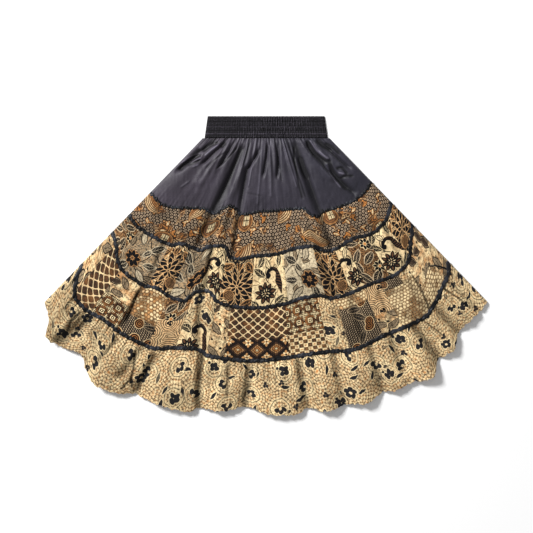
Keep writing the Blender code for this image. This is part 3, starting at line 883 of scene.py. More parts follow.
def drawn(cloth, size, amount):
    """The place on the cloth, shaken so that what is drawn there looks drawn by hand."""
    seeded = ((cloth.u, 1.7), (cloth.v, 8.9))
    return [spot + (cloth.noise(size, 2, seed) - 0.5) * (2 * amount) for spot, seed in seeded]


def veined_leaf(cloth, x, y, length, width, fill, line, where=1.0):
    """A leaf with an outline, a middle vein and small side veins."""
    shape = leaf(x, y, length, width)
    cloth.paint(line, shape.under(1.5) * where)
    cloth.paint(fill, shape.under(-0.8) * where)
    vein = y.near(0, 1.1).most(stripes(x - y.abs() * 1.2, 7.0, 0.15) * 0.6)
    cloth.paint(line, vein * shape.under(-1.9, 0.6) * where)


def rings(cloth, x, y):
    """Dark cloth with close rows of small rings, and scattered bright motifs."""
    cloth.ground(BLACK, DARK, cloth.noise(45, 3).over(0.5, 0.3))
    row = (y / RING_ROW).floor()
    ring_x = (((x / RING_PITCH) + row * 0.5).fract() - 0.5) * RING_PITCH
    ring = hypot(ring_x, tiled(y - RING_ROW / 2, RING_ROW))
    cloth.paint(RING, ring.under(3.2, 0.5))
    cloth.paint(BLACK, ring.under(1.5, 0.5))
    wash = cloth.noise(38, 2, 7, x, y).over(0.55, 0.03)
    curl = cloth.noise(27, 1, 2, x, y) * 10
    cloth.paint(DARK, wash)
    cloth.paint(BROWN, stripes(curl, 1, 0.6) * wash)
    cloth.paint(ORANGE, stripes(curl + 0.3, 1, 0.3) * wash)
    cloth.paint(CREAM, stripes(curl + 0.3, 1, 0.22) * wash * cloth.noise(24, 2, 6).over(0.5, 0.1))
    sx, sy, small, small_turn = cloth.cells(x + 15, y + 9, 36, 0.95)
    sx, sy = spun(sx, sy, small_turn)
    spark = leaf(sx, sy + 3, 19, 8).least(clover(sx - 3, sy - 5, 2, 3.0, 2.6)) + small.over(0.55, 0.01) * 20
    cloth.paint(BLACK, spark.under(1.8))
    cloth.paint(ORANGE, spark.under(0))
    cloth.paint(CREAM, spark.under(-1.6) * small.over(0.25, 0.02))
    cloth.paint(BROWN, stripes(cloth.noise(11, 1, 21, x, y) * 6, 1, 0.3) * spark.under(0) * 0.8)
    mx, my, kind, turn = cloth.cells(x, y, 88, 0.75)
    round_kind, oval_kind = kind.under(0.45, 0.01), kind.over(0.45, 0.01)
    medallion = hypot(mx, my)
    cloth.paint(BLACK, medallion.under(23) * round_kind)
    cloth.paint(BROWN, medallion.under(21) * round_kind)
    cloth.paint(ORANGE, stripes(medallion, 5.2, 0.34) * medallion.under(21) * round_kind * 0.5)
    cloth.paint(TAN, medallion.near(20.5, 1.3) * round_kind)
    blocks = (mx - 2).abs().most((my - 3).abs() * 0.72)
    cloth.paint(CREAM, blocks.under(7.6) * round_kind)
    bars = (mx - 2).abs().least((my - 3).abs()).under(1.0).most((mx - 2).abs().near(5.2, 1.2))
    cloth.paint(DARK, bars * blocks.under(7.8) * round_kind)
    lx, ly = spun(mx, my, turn)
    plume = leaf(lx, ly, 62, 34)
    cloth.paint(BLACK, plume.under(2.0) * oval_kind)
    cloth.paint(BROWN, plume.under(0.6) * oval_kind)
    arcs = ly + lx * lx * 0.016
    cloth.paint(ORANGE, stripes(arcs, 5.6, 0.5) * plume.under(-0.5) * oval_kind * 0.6)
    cloth.paint(CREAM, stripes(arcs, 5.6, 0.28) * plume.under(-1.5) * oval_kind * ly.over(-4, 5))
    cloth.paint(TAN, plume.near(-0.2, 1.1) * oval_kind)
    cloth.shade(0.32, cloth.noise(52, 3, 31).under(0.44, 0.05))
    # Darker towards the left
    cloth.shade(0.2, cloth.u.under(-120, 60))


def cream_scroll(cloth, x, y):
    """Cream cloth with a dark scrolling stem, a pinwheel blossom, leaves and a hook."""
    cloth.ground(CREAM, TAN, cloth.noise(22, 4).over(0.6, 0.2) * 0.6)
    mx, my, kind, turn = cloth.cells(x, y, 26, 0.9)
    mx, my = spun(mx, my, turn)
    cloth.paint(BROWN, leaf(mx, my, 26, 11).near(0, 1.6) * kind.over(0.35, 0.02))
    cloth.paint(BLACK, leaf(mx, my, 18, 6).under(0) * kind.over(0.7, 0.02))
    x, y = tiled(x + 2, 78), tiled(y, 118)
    hook_reach = hypot(x - 10, y - 12)
    bend = hook_reach.near(15, 9.5) * y.over(10, 2)
    stalk = leaf(*turned(x - 27, y + 4, 101), 66, 14).under(0) * y.under(12, 2)
    cloth.paint(BLACK, bend.most(stalk))
    cloth.paint(BROWN, stripes(y + x * 0.5, 6.5, 0.3) * hook_reach.near(15, 5).most(stalk) * x.over(12, 2))
    cloth.paint(BLACK, hypot(x + 1, y - 13).under(6.5))
    cloth.paint(BLACK, (x + (y * 0.062 + 0.4).sin() * 13).near(3, 2.6))
    wheel = petals(x + 8, y + 28, 9, 6, 27, 11.5, 0.2)
    cloth.paint(CREAM, wheel.under(1.6))
    cloth.paint(BLACK, wheel.under(0))
    cloth.paint(BROWN, petals(x + 8, y + 28, 9, 12, 24, 4.5, 0.2).under(0))
    cloth.paint(BLACK, petals(x + 8, y + 28, 6, 1, 9, 4.5).under(0))
    for lx, ly, degrees, length, width, filled in SCROLL_LEAVES:
        fill, line = (BLACK, CREAM) if filled else (CREAM, BLACK)
        veined_leaf(cloth, *turned(x - lx, y - ly, degrees), length, width, fill, line)


def burst(cloth, x, y):
    """Brown cloth full of fine curls, with a blossom of black pointed petals outlined in tan."""
    cloth.ground(BLACK, BROWN, cloth.noise(18))
    curl = cloth.noise(19, 1, 4, x, y) * 9
    cloth.paint(BLACK, stripes(curl, 1, 0.7))
    cloth.paint(SAND, stripes(curl + 0.5, 1, 0.32, 0.1))
    cloth.paint(CREAM, stripes(curl + 0.45, 1, 0.2, 0.08) * cloth.noise(20, 2, 6).over(0.45, 0.1))
    x, y = tiled(x, 88), tiled(y + 10, 118)
    for count, start, end, width, turn in BURST_PETALS:
        shape = petals(x, y, count, start, end, width, turn)
        cloth.paint(SAND, shape.under(1.2))
        cloth.paint(BLACK, shape.under(-0.3))
    disc = hypot(x + 16, y + 24)
    cloth.paint(DARK, disc.under(13))
    cloth.paint(TAN, disc.near(12.5, 1.3).most(stripes(x - y, 4.6, 0.3) * disc.under(11) * 0.7))
    for lx, ly, degrees in ((-30, 44, 40), (28, 46, 130), (30, -40, 35), (2, 56, 90)):
        veined_leaf(cloth, *turned(x - lx, y - ly, degrees), 34, 15, BLACK, TAN)


def grey_leaf(cloth, x, y):
    """Grey tan cloth with a branching stem and leaves that are half outlined and half dark."""
    cloth.ground(BEIGE, FAWN, cloth.noise(34, 3).over(0.4, 0.3))
    dark = cloth.patch.under(PALE_LEAVES, 0.5)
    cloth.paint(TAUPE, dark * 0.8)
    cloth.paint(BROWN, cloth.noise(4.5, 1, 2).under(0.4, 0.06) * 0.6)
    curl = cloth.noise(17, 1, 23, x, y) * 8
    cloth.paint(BLACK, stripes(curl, 1, 0.3) * dark * 0.6)
    cloth.paint(SAND, stripes(curl + 0.5, 1, 0.24) * dark * 0.6)
    mx, my, kind, turn = cloth.cells(x, y, 28, 0.9)
    veined_leaf(cloth, *spun(mx, my, turn), 30, 12, GREY, BLACK, kind.over(0.5, 0.02))
    x, y = tiled(x - 3, 92), tiled(y, 124)
    branch = (x - (y * 0.048 + 0.9).sin() * 17).near(-4, 2.8)
    twig = (y - (x * 0.075).sin() * 12).near(9, 2.4) * x.over(-18)
    cloth.paint(BLACK, branch.most(twig))
    for lx, ly, degrees, length, width, filled in GREY_LEAVES:
        fill, line = (BLACK, BEIGE) if filled else (BEIGE, BLACK)
        veined_leaf(cloth, *turned(x - lx, y - ly, degrees), length, width, fill, line)
    wheel = petals(x + 20, y + 18, 8, 4, 22, 11)
    cloth.paint(BROWN, hypot(x + 20, y + 18).under(21))
    cloth.paint(TAN, wheel.under(1.2))
    cloth.paint(BLACK, wheel.under(-0.4))


def dark_leaf(cloth, x, y):
    """Near-black cloth with crowded leaves and blossoms outlined in tan."""
    cloth.ground(BLACK, BROWN, cloth.noise(40, 3) * 0.8)
    cloth.paint(TAN, stripes(cloth.noise(12, 1, 3, x, y), 0.12, 0.3) * 0.8)
    mx, my, kind, turn = cloth.cells(x, y, 31, 0.75)
    veined_leaf(cloth, *spun(mx, my, turn), 42, 18, BLACK, PALE, kind.under(0.62, 0.01))
    blooming = kind.over(0.62, 0.01)
    bloom = petals(mx, my, 8, 3, 17, 8.5)
    cloth.paint(CREAM, bloom.under(0.9) * blooming)
    cloth.paint(BLACK, bloom.under(-0.7) * blooming)
    cloth.paint(ORANGE, hypot(mx, my).under(3.4) * blooming)


def lattice(cloth, x, y):
    """Brown diamonds between cream lines that thicken where they cross."""
    one, other = x / 25 + y / 21, x / 25 - y / 21
    shade = cloth.chance(one.floor(), other.floor())
    cloth.ground(CREAM, TAN, cloth.noise(10) * 0.5)
    across, up = one.fract() - 0.5, other.fract() - 0.5
    round_cell = across * across * across * across + up * up * up * up
    cloth.paint(BLACK, round_cell.under(0.037, 0.010))
    fill = cloth.mix(DARK, BROWN, shade * 0.7 + cloth.noise(8) * 0.3)
    cloth.paint(fill, round_cell.under(0.015, 0.008))
    cloth.paint(ORANGE, cloth.noise(22, 2, 6).over(0.6, 0.12) * 0.25)


def mottled(cloth, x, y):
    """Orange and cream cloth, blotched, with grey brown leaves."""
    cloth.ground(ORANGE, CREAM, cloth.noise(17, 4).over(0.42, 0.2))
    cloth.paint(BROWN, cloth.noise(7, 3, 2).under(0.42, 0.1) * 0.75)
    mx, my, kind, turn = cloth.cells(x, y, 38, 0.85)
    lx, ly = spun(mx, my, turn)
    veined_leaf(cloth, lx, ly, 38, 17, GREY, BLACK)
    cloth.paint(DARK, leaf(lx, ly, 34, 14).under(-0.5) * kind.over(0.6, 0.02) * 0.9)
    cloth.paint(BLACK, hypot(lx - 4, ly - 15).under(3.0))
    cloth.paint(BLACK, stripes(cloth.noise(20, 1, 5, x, y), 0.15, 0.15, 0.07) * 0.8)


def ceplok(cloth, x, y):
    """Brown cloth with rows of cream squares and dotted crosses."""
    cloth.ground(DARK, ORANGE, cloth.noise(20, 3).over(0.5, 0.25) * 0.55)
    cloth.paint(BLACK, cloth.noise(14, 2, 3).over(0.52, 0.08) * 0.75)
    sx, sy = tiled(x, CEPLOK_PITCH), tiled(y, CEPLOK_PITCH)
    arms, diamond = sx.abs().least(sy.abs()), sx.abs() + sy.abs()
    cloth.paint(BLACK, diamond.under(13) * arms.under(3.4))
    dots = hypot(tiled(sx, 4.4), tiled(sy, 4.4)).under(1.7)
    cloth.paint(CREAM, dots * diamond.under(13.5).least(arms.under(3.6)))
    tx, ty = [tiled(across + CEPLOK_PITCH / 2, CEPLOK_PITCH) for across in (x, y)]
    block = tx.abs().most(ty.abs())
    for half, colour in ((7.2, BLACK), (5.8, CREAM), (3.9, BLACK), (1.5, CREAM)):
        cloth.paint(colour, block.under(half))
    cloth.paint(BLACK, (sx.abs() + ty.abs()).under(2.6))


def checks(cloth, x, y):
    """Checks of cream and brown with a small spot in each."""
    odd = (((x / 11).floor() + (y / 9).floor()) / 2).fract().over(0.25, 0.1)
    cloth.ground(CREAM, DARK, odd)
    inner = tiled(x - 5.5, 11).abs().most(tiled(y - 4.5, 9).abs())
    cloth.paint(ORANGE, inner.under(1.6) * (1 - odd))
    cloth.paint(BROWN, inner.under(2.4) * odd)
    cloth.paint(TAN, cloth.noise(16, 3).over(0.55, 0.2) * 0.4)


def lozenges(cloth, x, y):
    """Black cloth with nested orange brown diamonds and small cream rosettes between them."""
    cloth.ground(BLACK, DARK, cloth.noise(20))
    nest = tiled(x, 47).abs() * (1 / 23.5) + tiled(y, 40).abs() * (1 / 20)
    rims = ((0.84, 0.12, BROWN), (0.6, 0.14, TAN), (0.34, 0.1, ORANGE), (0.1, 0.12, CREAM))
    for level, width, colour in rims:
        cloth.paint(colour, nest.near(level, width, 0.05))
    cloth.paint(BLACK, stripes(x, 5.0, 0.3) * nest.over(0.5, 0.05) * 0.8)
    rx, ry = tiled(x + 23.5, 47), tiled(y + 20, 40)
    cloth.paint(TAN, petals(rx, ry, 4, 1.5, 13, 6.0, 0.5).under(0))
    cloth.paint(CREAM, petals(rx, ry, 4, 1.5, 9, 4.0).under(0))
    cloth.paint(BLACK, hypot(rx, ry).under(2.2))


def dark_dots(cloth, x, y):
    """Near-black cloth with fine tan dots, leaf outlines and a few round motifs."""
    cloth.ground(BLACK, DARK, cloth.noise(30, 3))
    cloth.paint(PALE, hypot(tiled(x, 5.2), tiled(y + x * 0.5, 5.2)).under(1.25, 0.6) * 0.9)
    mx, my, kind, turn = cloth.cells(x, y, 42, 0.8)
    veined_leaf(cloth, *spun(mx, my, turn), 40, 16, BLACK, GREY, kind.under(0.55, 0.01))
    rounded = kind.over(0.55, 0.01)
    disc = hypot(mx, my)
    cloth.paint(BLACK, disc.under(14) * rounded)
    cloth.paint(ORANGE, stripes(disc, 4.6, 0.3) * disc.under(12) * rounded * 0.7)
    cloth.paint(CREAM, disc.near(12.5, 1.2) * rounded * 0.8)


def spirals(cloth, x, y):
    """Cream and orange cloth with brown lines that run round scattered middles."""
    cloth.ground(CREAM, ORANGE, cloth.noise(22).over(0.5, 0.25) * 0.45)
    mx, my, _, turn = cloth.cells(x, y, 50, 0.7)
    reach, bearing = polar(mx, my)
    wave = reach * 0.19 + bearing / TURN
    cloth.paint(BROWN, stripes(wave, 1, 0.42))
    cloth.paint(BLACK, stripes(wave, 1, 0.22) * 0.9)
    cloth.paint(ORANGE, stripes(wave + 0.42, 1, 0.16) * 0.8)
    cloth.paint(BLACK, clover(mx, my, 3, 4.2, 3.6, turn).under(0))


def basket(cloth, x, y):
    """Rows of small cream and orange blobs on dark cloth, like basket work."""
    cloth.ground(DARK, TAN, cloth.noise(24, 3).over(0.35, 0.3) * 0.8)
    row = (y / BASKET_ROW).floor()
    bx = (((x / BASKET_PITCH) + row * 0.5).fract() - 0.5) * BASKET_PITCH
    by = ((y / BASKET_ROW).fract() - 0.5) * BASKET_ROW
    reach = bx * bx * 0.058 + by * by * 0.085
    pale = cloth.patch.over(PALE_BASKETS, 0.5)
    cloth.paint(FAWN, pale * 0.22)
    blob = reach.under(1.0, 0.5)
    light = cloth.chance((x / BASKET_PITCH + row * 0.5).floor(), row) + pale * 0.28
    cloth.paint(TAN, blob * light.over(0.04, 0.05))
    cloth.paint(ORANGE, blob * light.over(0.14, 0.05) * 0.4)
    cloth.paint(CREAM, blob * light.over(0.27, 0.1))
    cloth.paint(BLACK, reach.near(1.15, 0.6, 0.3) * 0.8)
    dark = cloth.noise(30, 2, 7).over(0.57, 0.06)
    cloth.paint(BLACK, dark * 0.8)
    cloth.paint(TAN, hypot(tiled(x, 6), tiled(y, 6)).near(1.8, 1.0, 0.4) * dark * 0.9)


def swirls(cloth, x, y):
    """Cream cloth with rows of dashes round scattered middles, black florets and slender leaves."""
    cloth.ground(CREAM, TAN, cloth.noise(30, 4).over(0.57, 0.2) * 0.5)
    mx, my, kind, turn = cloth.cells(x, y, 66, 0.85)
    reach, bearing = polar(mx, my)
    course = (reach / SWIRL_PITCH).floor()
    along_course = bearing * (course + 0.5) + course * 2.4
    across = ((reach / SWIRL_PITCH).fract() - 0.5) * SWIRL_PITCH
    bead = hypot(across, (along_course.fract() - 0.5) * SWIRL_PITCH)
    cloth.paint(BROWN, bead.over(0.42 * SWIRL_PITCH, 0.9) * 0.72)
    cloth.paint(DARK, bead.over(0.54 * SWIRL_PITCH, 0.9) * 0.8)
    cloth.paint(DARK, cloth.noise(7, 1, 9).under(0.35, 0.05) * 0.7)
    cloth.paint(ORANGE, cloth.noise(7, 1, 11).over(0.6, 0.08) * 0.5)
    cloth.paint(CREAM, reach.near(22, 6.5) * kind.over(0.3, 0.05) * 0.7)
    cloth.paint(BLACK, reach.near(22.5, 2.2) * stripes(bearing * 6, 1, 0.8, 0.3) * kind.over(0.3, 0.05))
    beside = clover(mx + 12, my - 9, 2, 4.2, 3.9, turn) + kind.under(0.72, 0.01) * 20
    fx, fy = spun(mx, my, turn)
    arc = clover(fx, fy, 5, 9.0, 6.0) + (fx.over(4, 0.5) * 20).least(kind.over(0.3, 0.01) * 20)
    trefoil = clover(mx, my, 3, 6.4, 5.8, turn) + kind.under(0.66, 0.01) * 20
    floret = arc.least(trefoil).least(beside) + kind.under(0.14, 0.01) * 20
    cloth.paint(ORANGE, hypot(fx, fy).under(3, 1) * 0.8)
    cloth.paint(CREAM, floret.under(2.0))
    cloth.paint(INK, floret.under(0))
    nx, ny, small, other_turn = cloth.cells(x + 31, y + 17, 37, 0.9)
    clear = reach.over(18, 2)
    slender = leaf(*spun(nx, ny, other_turn), 27, 8.5)
    cloth.paint(CREAM, slender.under(1.6) * clear * small.under(0.36, 0.02))
    cloth.paint(INK, slender.under(0) * clear * small.under(0.36, 0.02))
    bud = clover(nx, ny, 3, 4.2, 3.8, other_turn)
    cloth.paint(INK, bud.under(0) * clear * small.over(0.82, 0.02))
    # Darker towards the left
    cloth.shade(0.2, cloth.u.ramp(-1 / 400, -0.4))


def printed_cotton(cloth):
    """The cotton that every print is on: a fine weave, crumpled and dry, with the wax's fine cracks."""
    cloth.shade(0.45, cloth.noise(26, 5, 16).near(0.5, 0.014, 0.012))
    cloth.shade(0.42, cloth.noise(6, 3, 17).under(0.43, 0.06))
    crumple = cloth.noise(9, 4, 12)
    worn = cloth.noise(40, 3, 14) * 0.2 + 0.68
    bumps = ((cloth.weave(WEAVE_PITCH), 0.05 * MM), (crumple, 0.8 * MM))
    return cloth.finish(worn, bumps, specular=0.12, sheen=0.02)


def yoke_cotton():
    """Plain black cotton with a faint shine, paler where it has been handled, with painted light on its
    left, painted shade on its right and painted highlights along its crests.
    """
    cloth = Cloth("yoke_cotton")
    # Painted light on the left side, fading to painted shade on the right
    cloth.ground(YOKE_LIT_LEFT, YOKE_SHADED_RIGHT, cloth.u.ramp(1 / 360, 0.5))
    cloth.paint(YOKE_WORN, cloth.noise(60, 4).over(0.55, 0.3) * 0.3)
    # Painted highlights along the crests of the creases
    cloth.paint(YOKE_CREST_HIGHLIGHT, cloth.attribute("fold_shade_and_highlight").ramp(-1.2, -0.35))
    crumple = cloth.noise(22, 4, 12)
    worn = cloth.noise(30, 3, 14) * 0.2 + 0.45
    bumps = ((cloth.weave(WEAVE_PITCH), 0.05 * MM), (crumple, 1.2 * MM))
    return cloth.finish(worn, bumps, specular=0.3, sheen=0.06)


def satin():
    """Black satin ribbon: smooth, with a soft shine, patches of painted blue grey highlight, and fine
    threads across its ruching.
    """
    cloth = Cloth("black_satin")
    # Patches of blue grey painted highlight along the ribbon
    cloth.ground(SATIN_BLACK, SATIN_PAINTED_HIGHLIGHT, cloth.noise(62).over(0.54, 0.08))
    threads = (cloth.u * (TURN / 0.8)).sin() * 0.5 + 0.5
    crumple = cloth.noise(4, 3, 12)
    worn = cloth.noise(10, 2, 14) * 0.16 + 0.42
    return cloth.finish(worn, ((threads, 0.03 * MM), (crumple, 0.3 * MM)), specular=0.22)


def elastic():
    """Matt black shirred elastic, with a faint lint, a fine knit, and painted highlights on its ribs and in
    pale lines across it.
    """
    cloth = Cloth("black_elastic")
    cloth.ground(ELASTIC_BLACK, ELASTIC_GREY, cloth.noise(8, 4))
    cloth.paint(ELASTIC_LINT_AND_HIGHLIGHT, cloth.noise(3.4, 2, 3).over(0.64, 0.06) * 0.4)
    # Painted highlights on the ribs, strongest near the middle
    ribs = stripes(cloth.u + cloth.noise(9, 2, 2) * 5, 6.4, 0.2)
    middle = ((cloth.u - 22) * (1 / 80)).abs().under(0.9, 0.9) * 0.8 + 0.2
    cloth.paint(ELASTIC_LINT_AND_HIGHLIGHT, ribs * middle * cloth.noise(26, 3).over(0.45, 0.1) * 0.6)
    # Painted highlights along pale lines across the band
    course_highlights = cloth.v.near(-46, 2.4).most(cloth.v.near(-27, 1.8) * 0.7).most(cloth.v.near(-4, 1.8) * 0.6)
    cloth.paint(ELASTIC_LINT_AND_HIGHLIGHT, course_highlights * cloth.noise(22, 3, 6).over(0.42, 0.15) * 0.5)
    knit = cloth.weave(1.1)
    crumple = cloth.noise(5, 4, 12)
    worn = cloth.noise(20, 3, 14) * 0.2 + 0.7
    return cloth.finish(worn, ((knit, 0.08 * MM), (crumple, 0.4 * MM)), specular=0.2, sheen=0.03)


def thread(name, pale, dark):
    """Sewing thread with a twist along it."""
    cloth = Cloth(name)
    cloth.ground(dark, pale, cloth.noise(1.5))
    worn = cloth.noise(6, 2, 14) * 0.2 + 0.45
    return cloth.finish(worn, ((cloth.weave(0.5), 0.05 * MM),), specular=0.1)


def squares(line):
    """Directions square to a line at each of its points, to the right as it runs."""
    run = np.gradient(line, axis=0)
    run /= np.linalg.norm(run, axis=1)[:, None]
    return np.stack([run[:, 1], -run[:, 0]], axis=1)


def seam_line(k, columns, offset, reach_of=front_reach):
    """Angle and reach along a line that runs beside seam k, that far square off it towards the hem."""
    angles = columns_of(columns)
    seam = place(angles, reach_of(k, angles), np.zeros(columns + 1))[:, :2]
    x, y = (seam - APEX + squares(seam) * np.reshape(offset, (-1, 1))).T
    angle = np.clip(np.degrees(np.arctan2(x, -y)), -HALF_ANGLE, HALF_ANGLE)
    return angle, np.hypot(x, y)


def crown_of(across):
    """How far a ribbon's crown has risen, from 0 at its edges to 1 in its middle."""
    return 1 - abs(across) ** 3


def trim_level(trim, angle, reach, crown, bump):
    """Height of the ribbon on the front, clear of the cloth just beside each point too."""
    under = front_top(angle, reach)
    for aside in (-TRIM_CLEAR_DEG, TRIM_CLEAR_DEG):
        under = np.maximum(under, front_top(angle + aside, reach))
    return under + TRIM_LIFT * (0.25 + 0.75 * crown) + trim.ruche_mm * MM * crown * bump


def trim_strip(k, side, look):
    """The ruched ribbon over seam k: crowned and ridged on the front, flat on the back."""
    trim, front = TRIMS[k - 1], side == "front"
    reach_of = front_reach if front else back_reach
    angles = columns_of(TRIM_COLUMNS)
    run = np.radians(angles) * float(np.mean(reach_of(k, angles)))
    pitch, half = trim.ruche_pitch_mm * MM, trim.width_mm * MM / 2
    wobble = trim.wobble_mm * MM * (1 if front else 0.3)
    edges = [wobble * wander(run, pitch, trim.seed + turn) for turn in (0, 7)]
    rows = []
    for across in np.linspace(-1, 1, TRIM_ACROSS):
        edge = edges[0] if across < 0 else edges[1]
        angle, reach = seam_line(k, TRIM_COLUMNS, across * (half + edge * abs(across)), reach_of)
        crown = crown_of(across)
        ridge = wander(run + 0.12 * across * half, pitch, trim.seed + 3)
        ridge = ridge + 0.2 * wander(run - 0.2 * across * half, 0.4 * pitch, trim.seed + 5)
        if front:
            z = trim_level(trim, angle, reach, crown, 1 + ridge)
        else:
            z = BACK_TRIM_FLOOR + BACK_RUCHE * (1 - crown * (0.6 + 0.4 * ridge))
        rows.append(place(angle, reach, z))
    name = f"trim_{k}_{side}"
    up = np.linspace(half, -half, TRIM_ACROSS)
    return strip(f"{name}_ribbon", np.array(rows), run, up, look, side, name)


def trim_tail(look):
    """The loose end of the lowest trim, which turns back over the tier above it."""
    stops = np.array(spots_of(TAIL))
    share = np.linspace(0, len(TAIL) - 1, TAIL_COLUMNS + 1)
    line = np.stack([np.interp(share, np.arange(len(TAIL)), stops[:, i]) for i in (0, 1)], axis=-1)
    square = -squares(line)
    run = share * TAIL_STEP
    half = TAIL_WIDTH / 2 * (1 - 0.35 * share / share[-1])
    rows = []
    for across in np.linspace(1, -1, TRIM_ACROSS):
        x, y = (line + square * (across * half)[:, None]).T
        angle, reach = np.degrees(np.arctan2(x, y)), np.hypot(x, y)
        lift = TRIM_LIFT * (0.3 + 0.7 * crown_of(across)) * (1 + 0.4 * wander(run, 9 * MM, 19))
        rows.append(place(angle, reach, front_top(angle, reach) + lift))
    up = np.linspace(TAIL_WIDTH / 2, -TAIL_WIDTH / 2, TRIM_ACROSS)
    return strip("trim_4_loose_end", np.array(rows), run, up, look)


def strip(name, points, across, up, look, side="front", node=None):
    """A strip of cloth with one material, and its cloth map across and up. The back's faces look down."""
    if side == "back":
        points, across = points[:, ::-1], across[::-1]
    piece = grid_mesh(name, points)
    u, v = np.meshgrid(across, up)
    cover(piece, at_corners(u), at_corners(v), look)
    return dress(piece, node)


def cover(piece, u, v, look):
    """Gives a piece its cloth map and one material, without borders."""
    set_cloth_map(piece, u, v)
    set_values(piece, "border", "POINT", np.ones(len(piece.data.vertices)))
    piece.data.materials.append(look)


def band_half(down):
    return BAND_TOP_HALF + (BAND_FOOT_HALF - BAND_TOP_HALF) * down


def band_height(x_share, down, x, half):
    """Height of the front waistband over its floor: channels between the stitch rows, crossed by ribs."""
    rows = np.abs(down - np.reshape(BAND_STITCH_ROWS, (-1, 1, 1))).min(axis=0) * BAND_DEPTH
    channel = 1 - np.exp(-((rows / BAND_VALLEY) ** 2))
    course = np.floor(down * BAND_COURSES)
    drift = sum(far * np.sin(course * step_on + waves * x) for far, step_on, waves in BAND_DRIFT)
    rib = wander(x + drift + BAND_RIB_SWAY * np.sin(5 * down), BAND_RIB_PITCH, 91)
    rib = rib + 0.6 * wander(x + 0.5 * drift, 0.5 * BAND_RIB_PITCH, 92)
    strength = 0.25 + 0.75 * np.exp(-(((x_share - BAND_STRONG_AT) / BAND_STRONG_REACH) ** 2))
    bunch = wander(x, 1.6 * BAND_RIB_PITCH, 93) * ease((down - 0.86) / 0.14)
    edge = np.minimum(ease(down / 0.05), ease((1 - down) / 0.04))
    inward = np.clip((half - np.abs(x)) / BAND_SIDE_ROLL, 0, 1)
    level = BAND_BASE + channel * (BAND_CHANNEL_RISE + strength * BAND_RIB_RISE * rib)
    level = level + BAND_BUNCH_RISE * bunch
    return (BAND_EDGE + (level - BAND_EDGE) * edge) * np.sqrt(inward * (2 - inward))


def waistband(side, look):
    """The shirred waistband: ribbed and scalloped on the front, nearly flat on the back."""
    rows, columns = (BAND_ROWS, BAND_COLUMNS) if side == "front" else (BAND_ROWS // 2, BAND_COLUMNS // 3)
    down, x_share = np.meshgrid(np.linspace(0, 1, rows + 1), np.linspace(-1, 1, columns + 1), indexing="ij")
    half = band_half(down)
    x = x_share * half
    scallop = BAND_FOOT_SCALLOP * wander(x, 1.6 * BAND_RIB_PITCH, 94) * ease((down - 0.9) / 0.1)
    scallop = scallop + BAND_TOP_SCALLOP * wander(x, BAND_RIB_PITCH, 95) * ease((0.06 - down) / 0.06)
    y = -(BAND_TOP + BAND_DEPTH * down + scallop)
    height = band_height(x_share, down, x, half)
    if side == "front":
        z = SIDE_MEET + (FRONT_FLOOR - SIDE_MEET) * np.clip(height / BAND_BASE, 0, 1) + height
    else:
        z = BACK_SHELL - 0.12 * (height - BAND_BASE)
    points = np.stack([APEX[0] + x, APEX[1] + y, np.maximum(z, GROUND_GAP)], axis=-1)
    across = np.linspace(-1, 1, columns + 1) * BAND_TOP_HALF
    up = -np.linspace(0, 1, rows + 1) * BAND_DEPTH
    name = f"waistband_{side}"
    piece = strip(f"{name}_shirring", points, across, up, look, side, name)


def spaced(points, pitch):
    """Points one pitch apart along a line, and the line's direction at each."""
    length = np.concatenate([[0], np.cumsum(np.linalg.norm(np.diff(points, axis=0), axis=1))])
    stops = np.arange(pitch / 2, length[-1], pitch)
    middles, ahead = [np.stack([np.interp(at, length, points[:, i]) for i in range(3)], axis=-1)
                      for at in (stops, stops + pitch / 4)]
    run = ahead - middles
    return middles, run / np.maximum(np.linalg.norm(run, axis=1), 1e-9)[:, None]


def stitches(name, lines, look, up=1.0):
    """One piece with a short rounded stitch at every pitch along each line."""
    vertices, faces = [], []
    turns = [TURN / STITCH_SIDES * turn for turn in range(STITCH_SIDES)]
    rise = np.array([0.0, 0.0, up])
    for line in lines:
        middles, run = spaced(line, STITCH_PITCH)
        asides = np.stack([-run[:, 1], run[:, 0], np.zeros(len(run))], axis=-1)
        for middle, ahead, aside in zip(middles, run, asides):
            first = len(vertices)
            for share, size in STITCH_RINGS:
                centre = middle + ahead * share * STITCH_LENGTH
                for angle in turns:
                    side = aside * math.cos(angle) + rise * math.sin(angle)
                    vertices.append(tuple(centre + side * STITCH_THICK / 2 * size))
            for ring in range(len(STITCH_RINGS) - 1):
                for turn in range(STITCH_SIDES):
                    a, b = [first + STITCH_SIDES * ring + t % STITCH_SIDES for t in (turn, turn + 1)]
                    faces.append((a, b, b + STITCH_SIDES, a + STITCH_SIDES))
            faces.append(tuple(range(first + STITCH_SIDES - 1, first - 1, -1)))
            faces.append(tuple(range(len(vertices) - STITCH_SIDES, len(vertices))))
    piece = smooth_mesh(name, vertices, faces)
    u, v = np.array([vertices[loop.vertex_index][:2] for loop in piece.data.loops]).T
    cover(piece, u, v, look)
    dress(piece)


def sewn(angle, reach, z):
    """A line of sewing, which stops short of the side folds."""
    return place(angle, reach, z)[STITCH_END:-STITCH_END]


def back_line(k, offset):
    angle, reach = seam_line(k, TRIM_COLUMNS, offset, back_reach)
    return sewn(angle, reach, np.full(len(angle), BACK_STITCH_LEVEL))


def band_lines():
    """Lines of sewing in the front waistband's valleys."""
    lines = []
    x_share = np.linspace(-0.985, 0.985, BAND_COLUMNS)
    for down in BAND_STITCH_ROWS:
        half = band_half(down)
        x, level_down = x_share * half, np.full((1, BAND_COLUMNS), down)
        level = band_height(x_share[None, :], level_down, x[None, :], half)[0]
        y = np.full(BAND_COLUMNS, APEX[1] - BAND_TOP - BAND_DEPTH * down)
        lines.append(np.stack([APEX[0] + x, y, FRONT_FLOOR + level + STITCH_THICK / 4], axis=-1))
    return lines


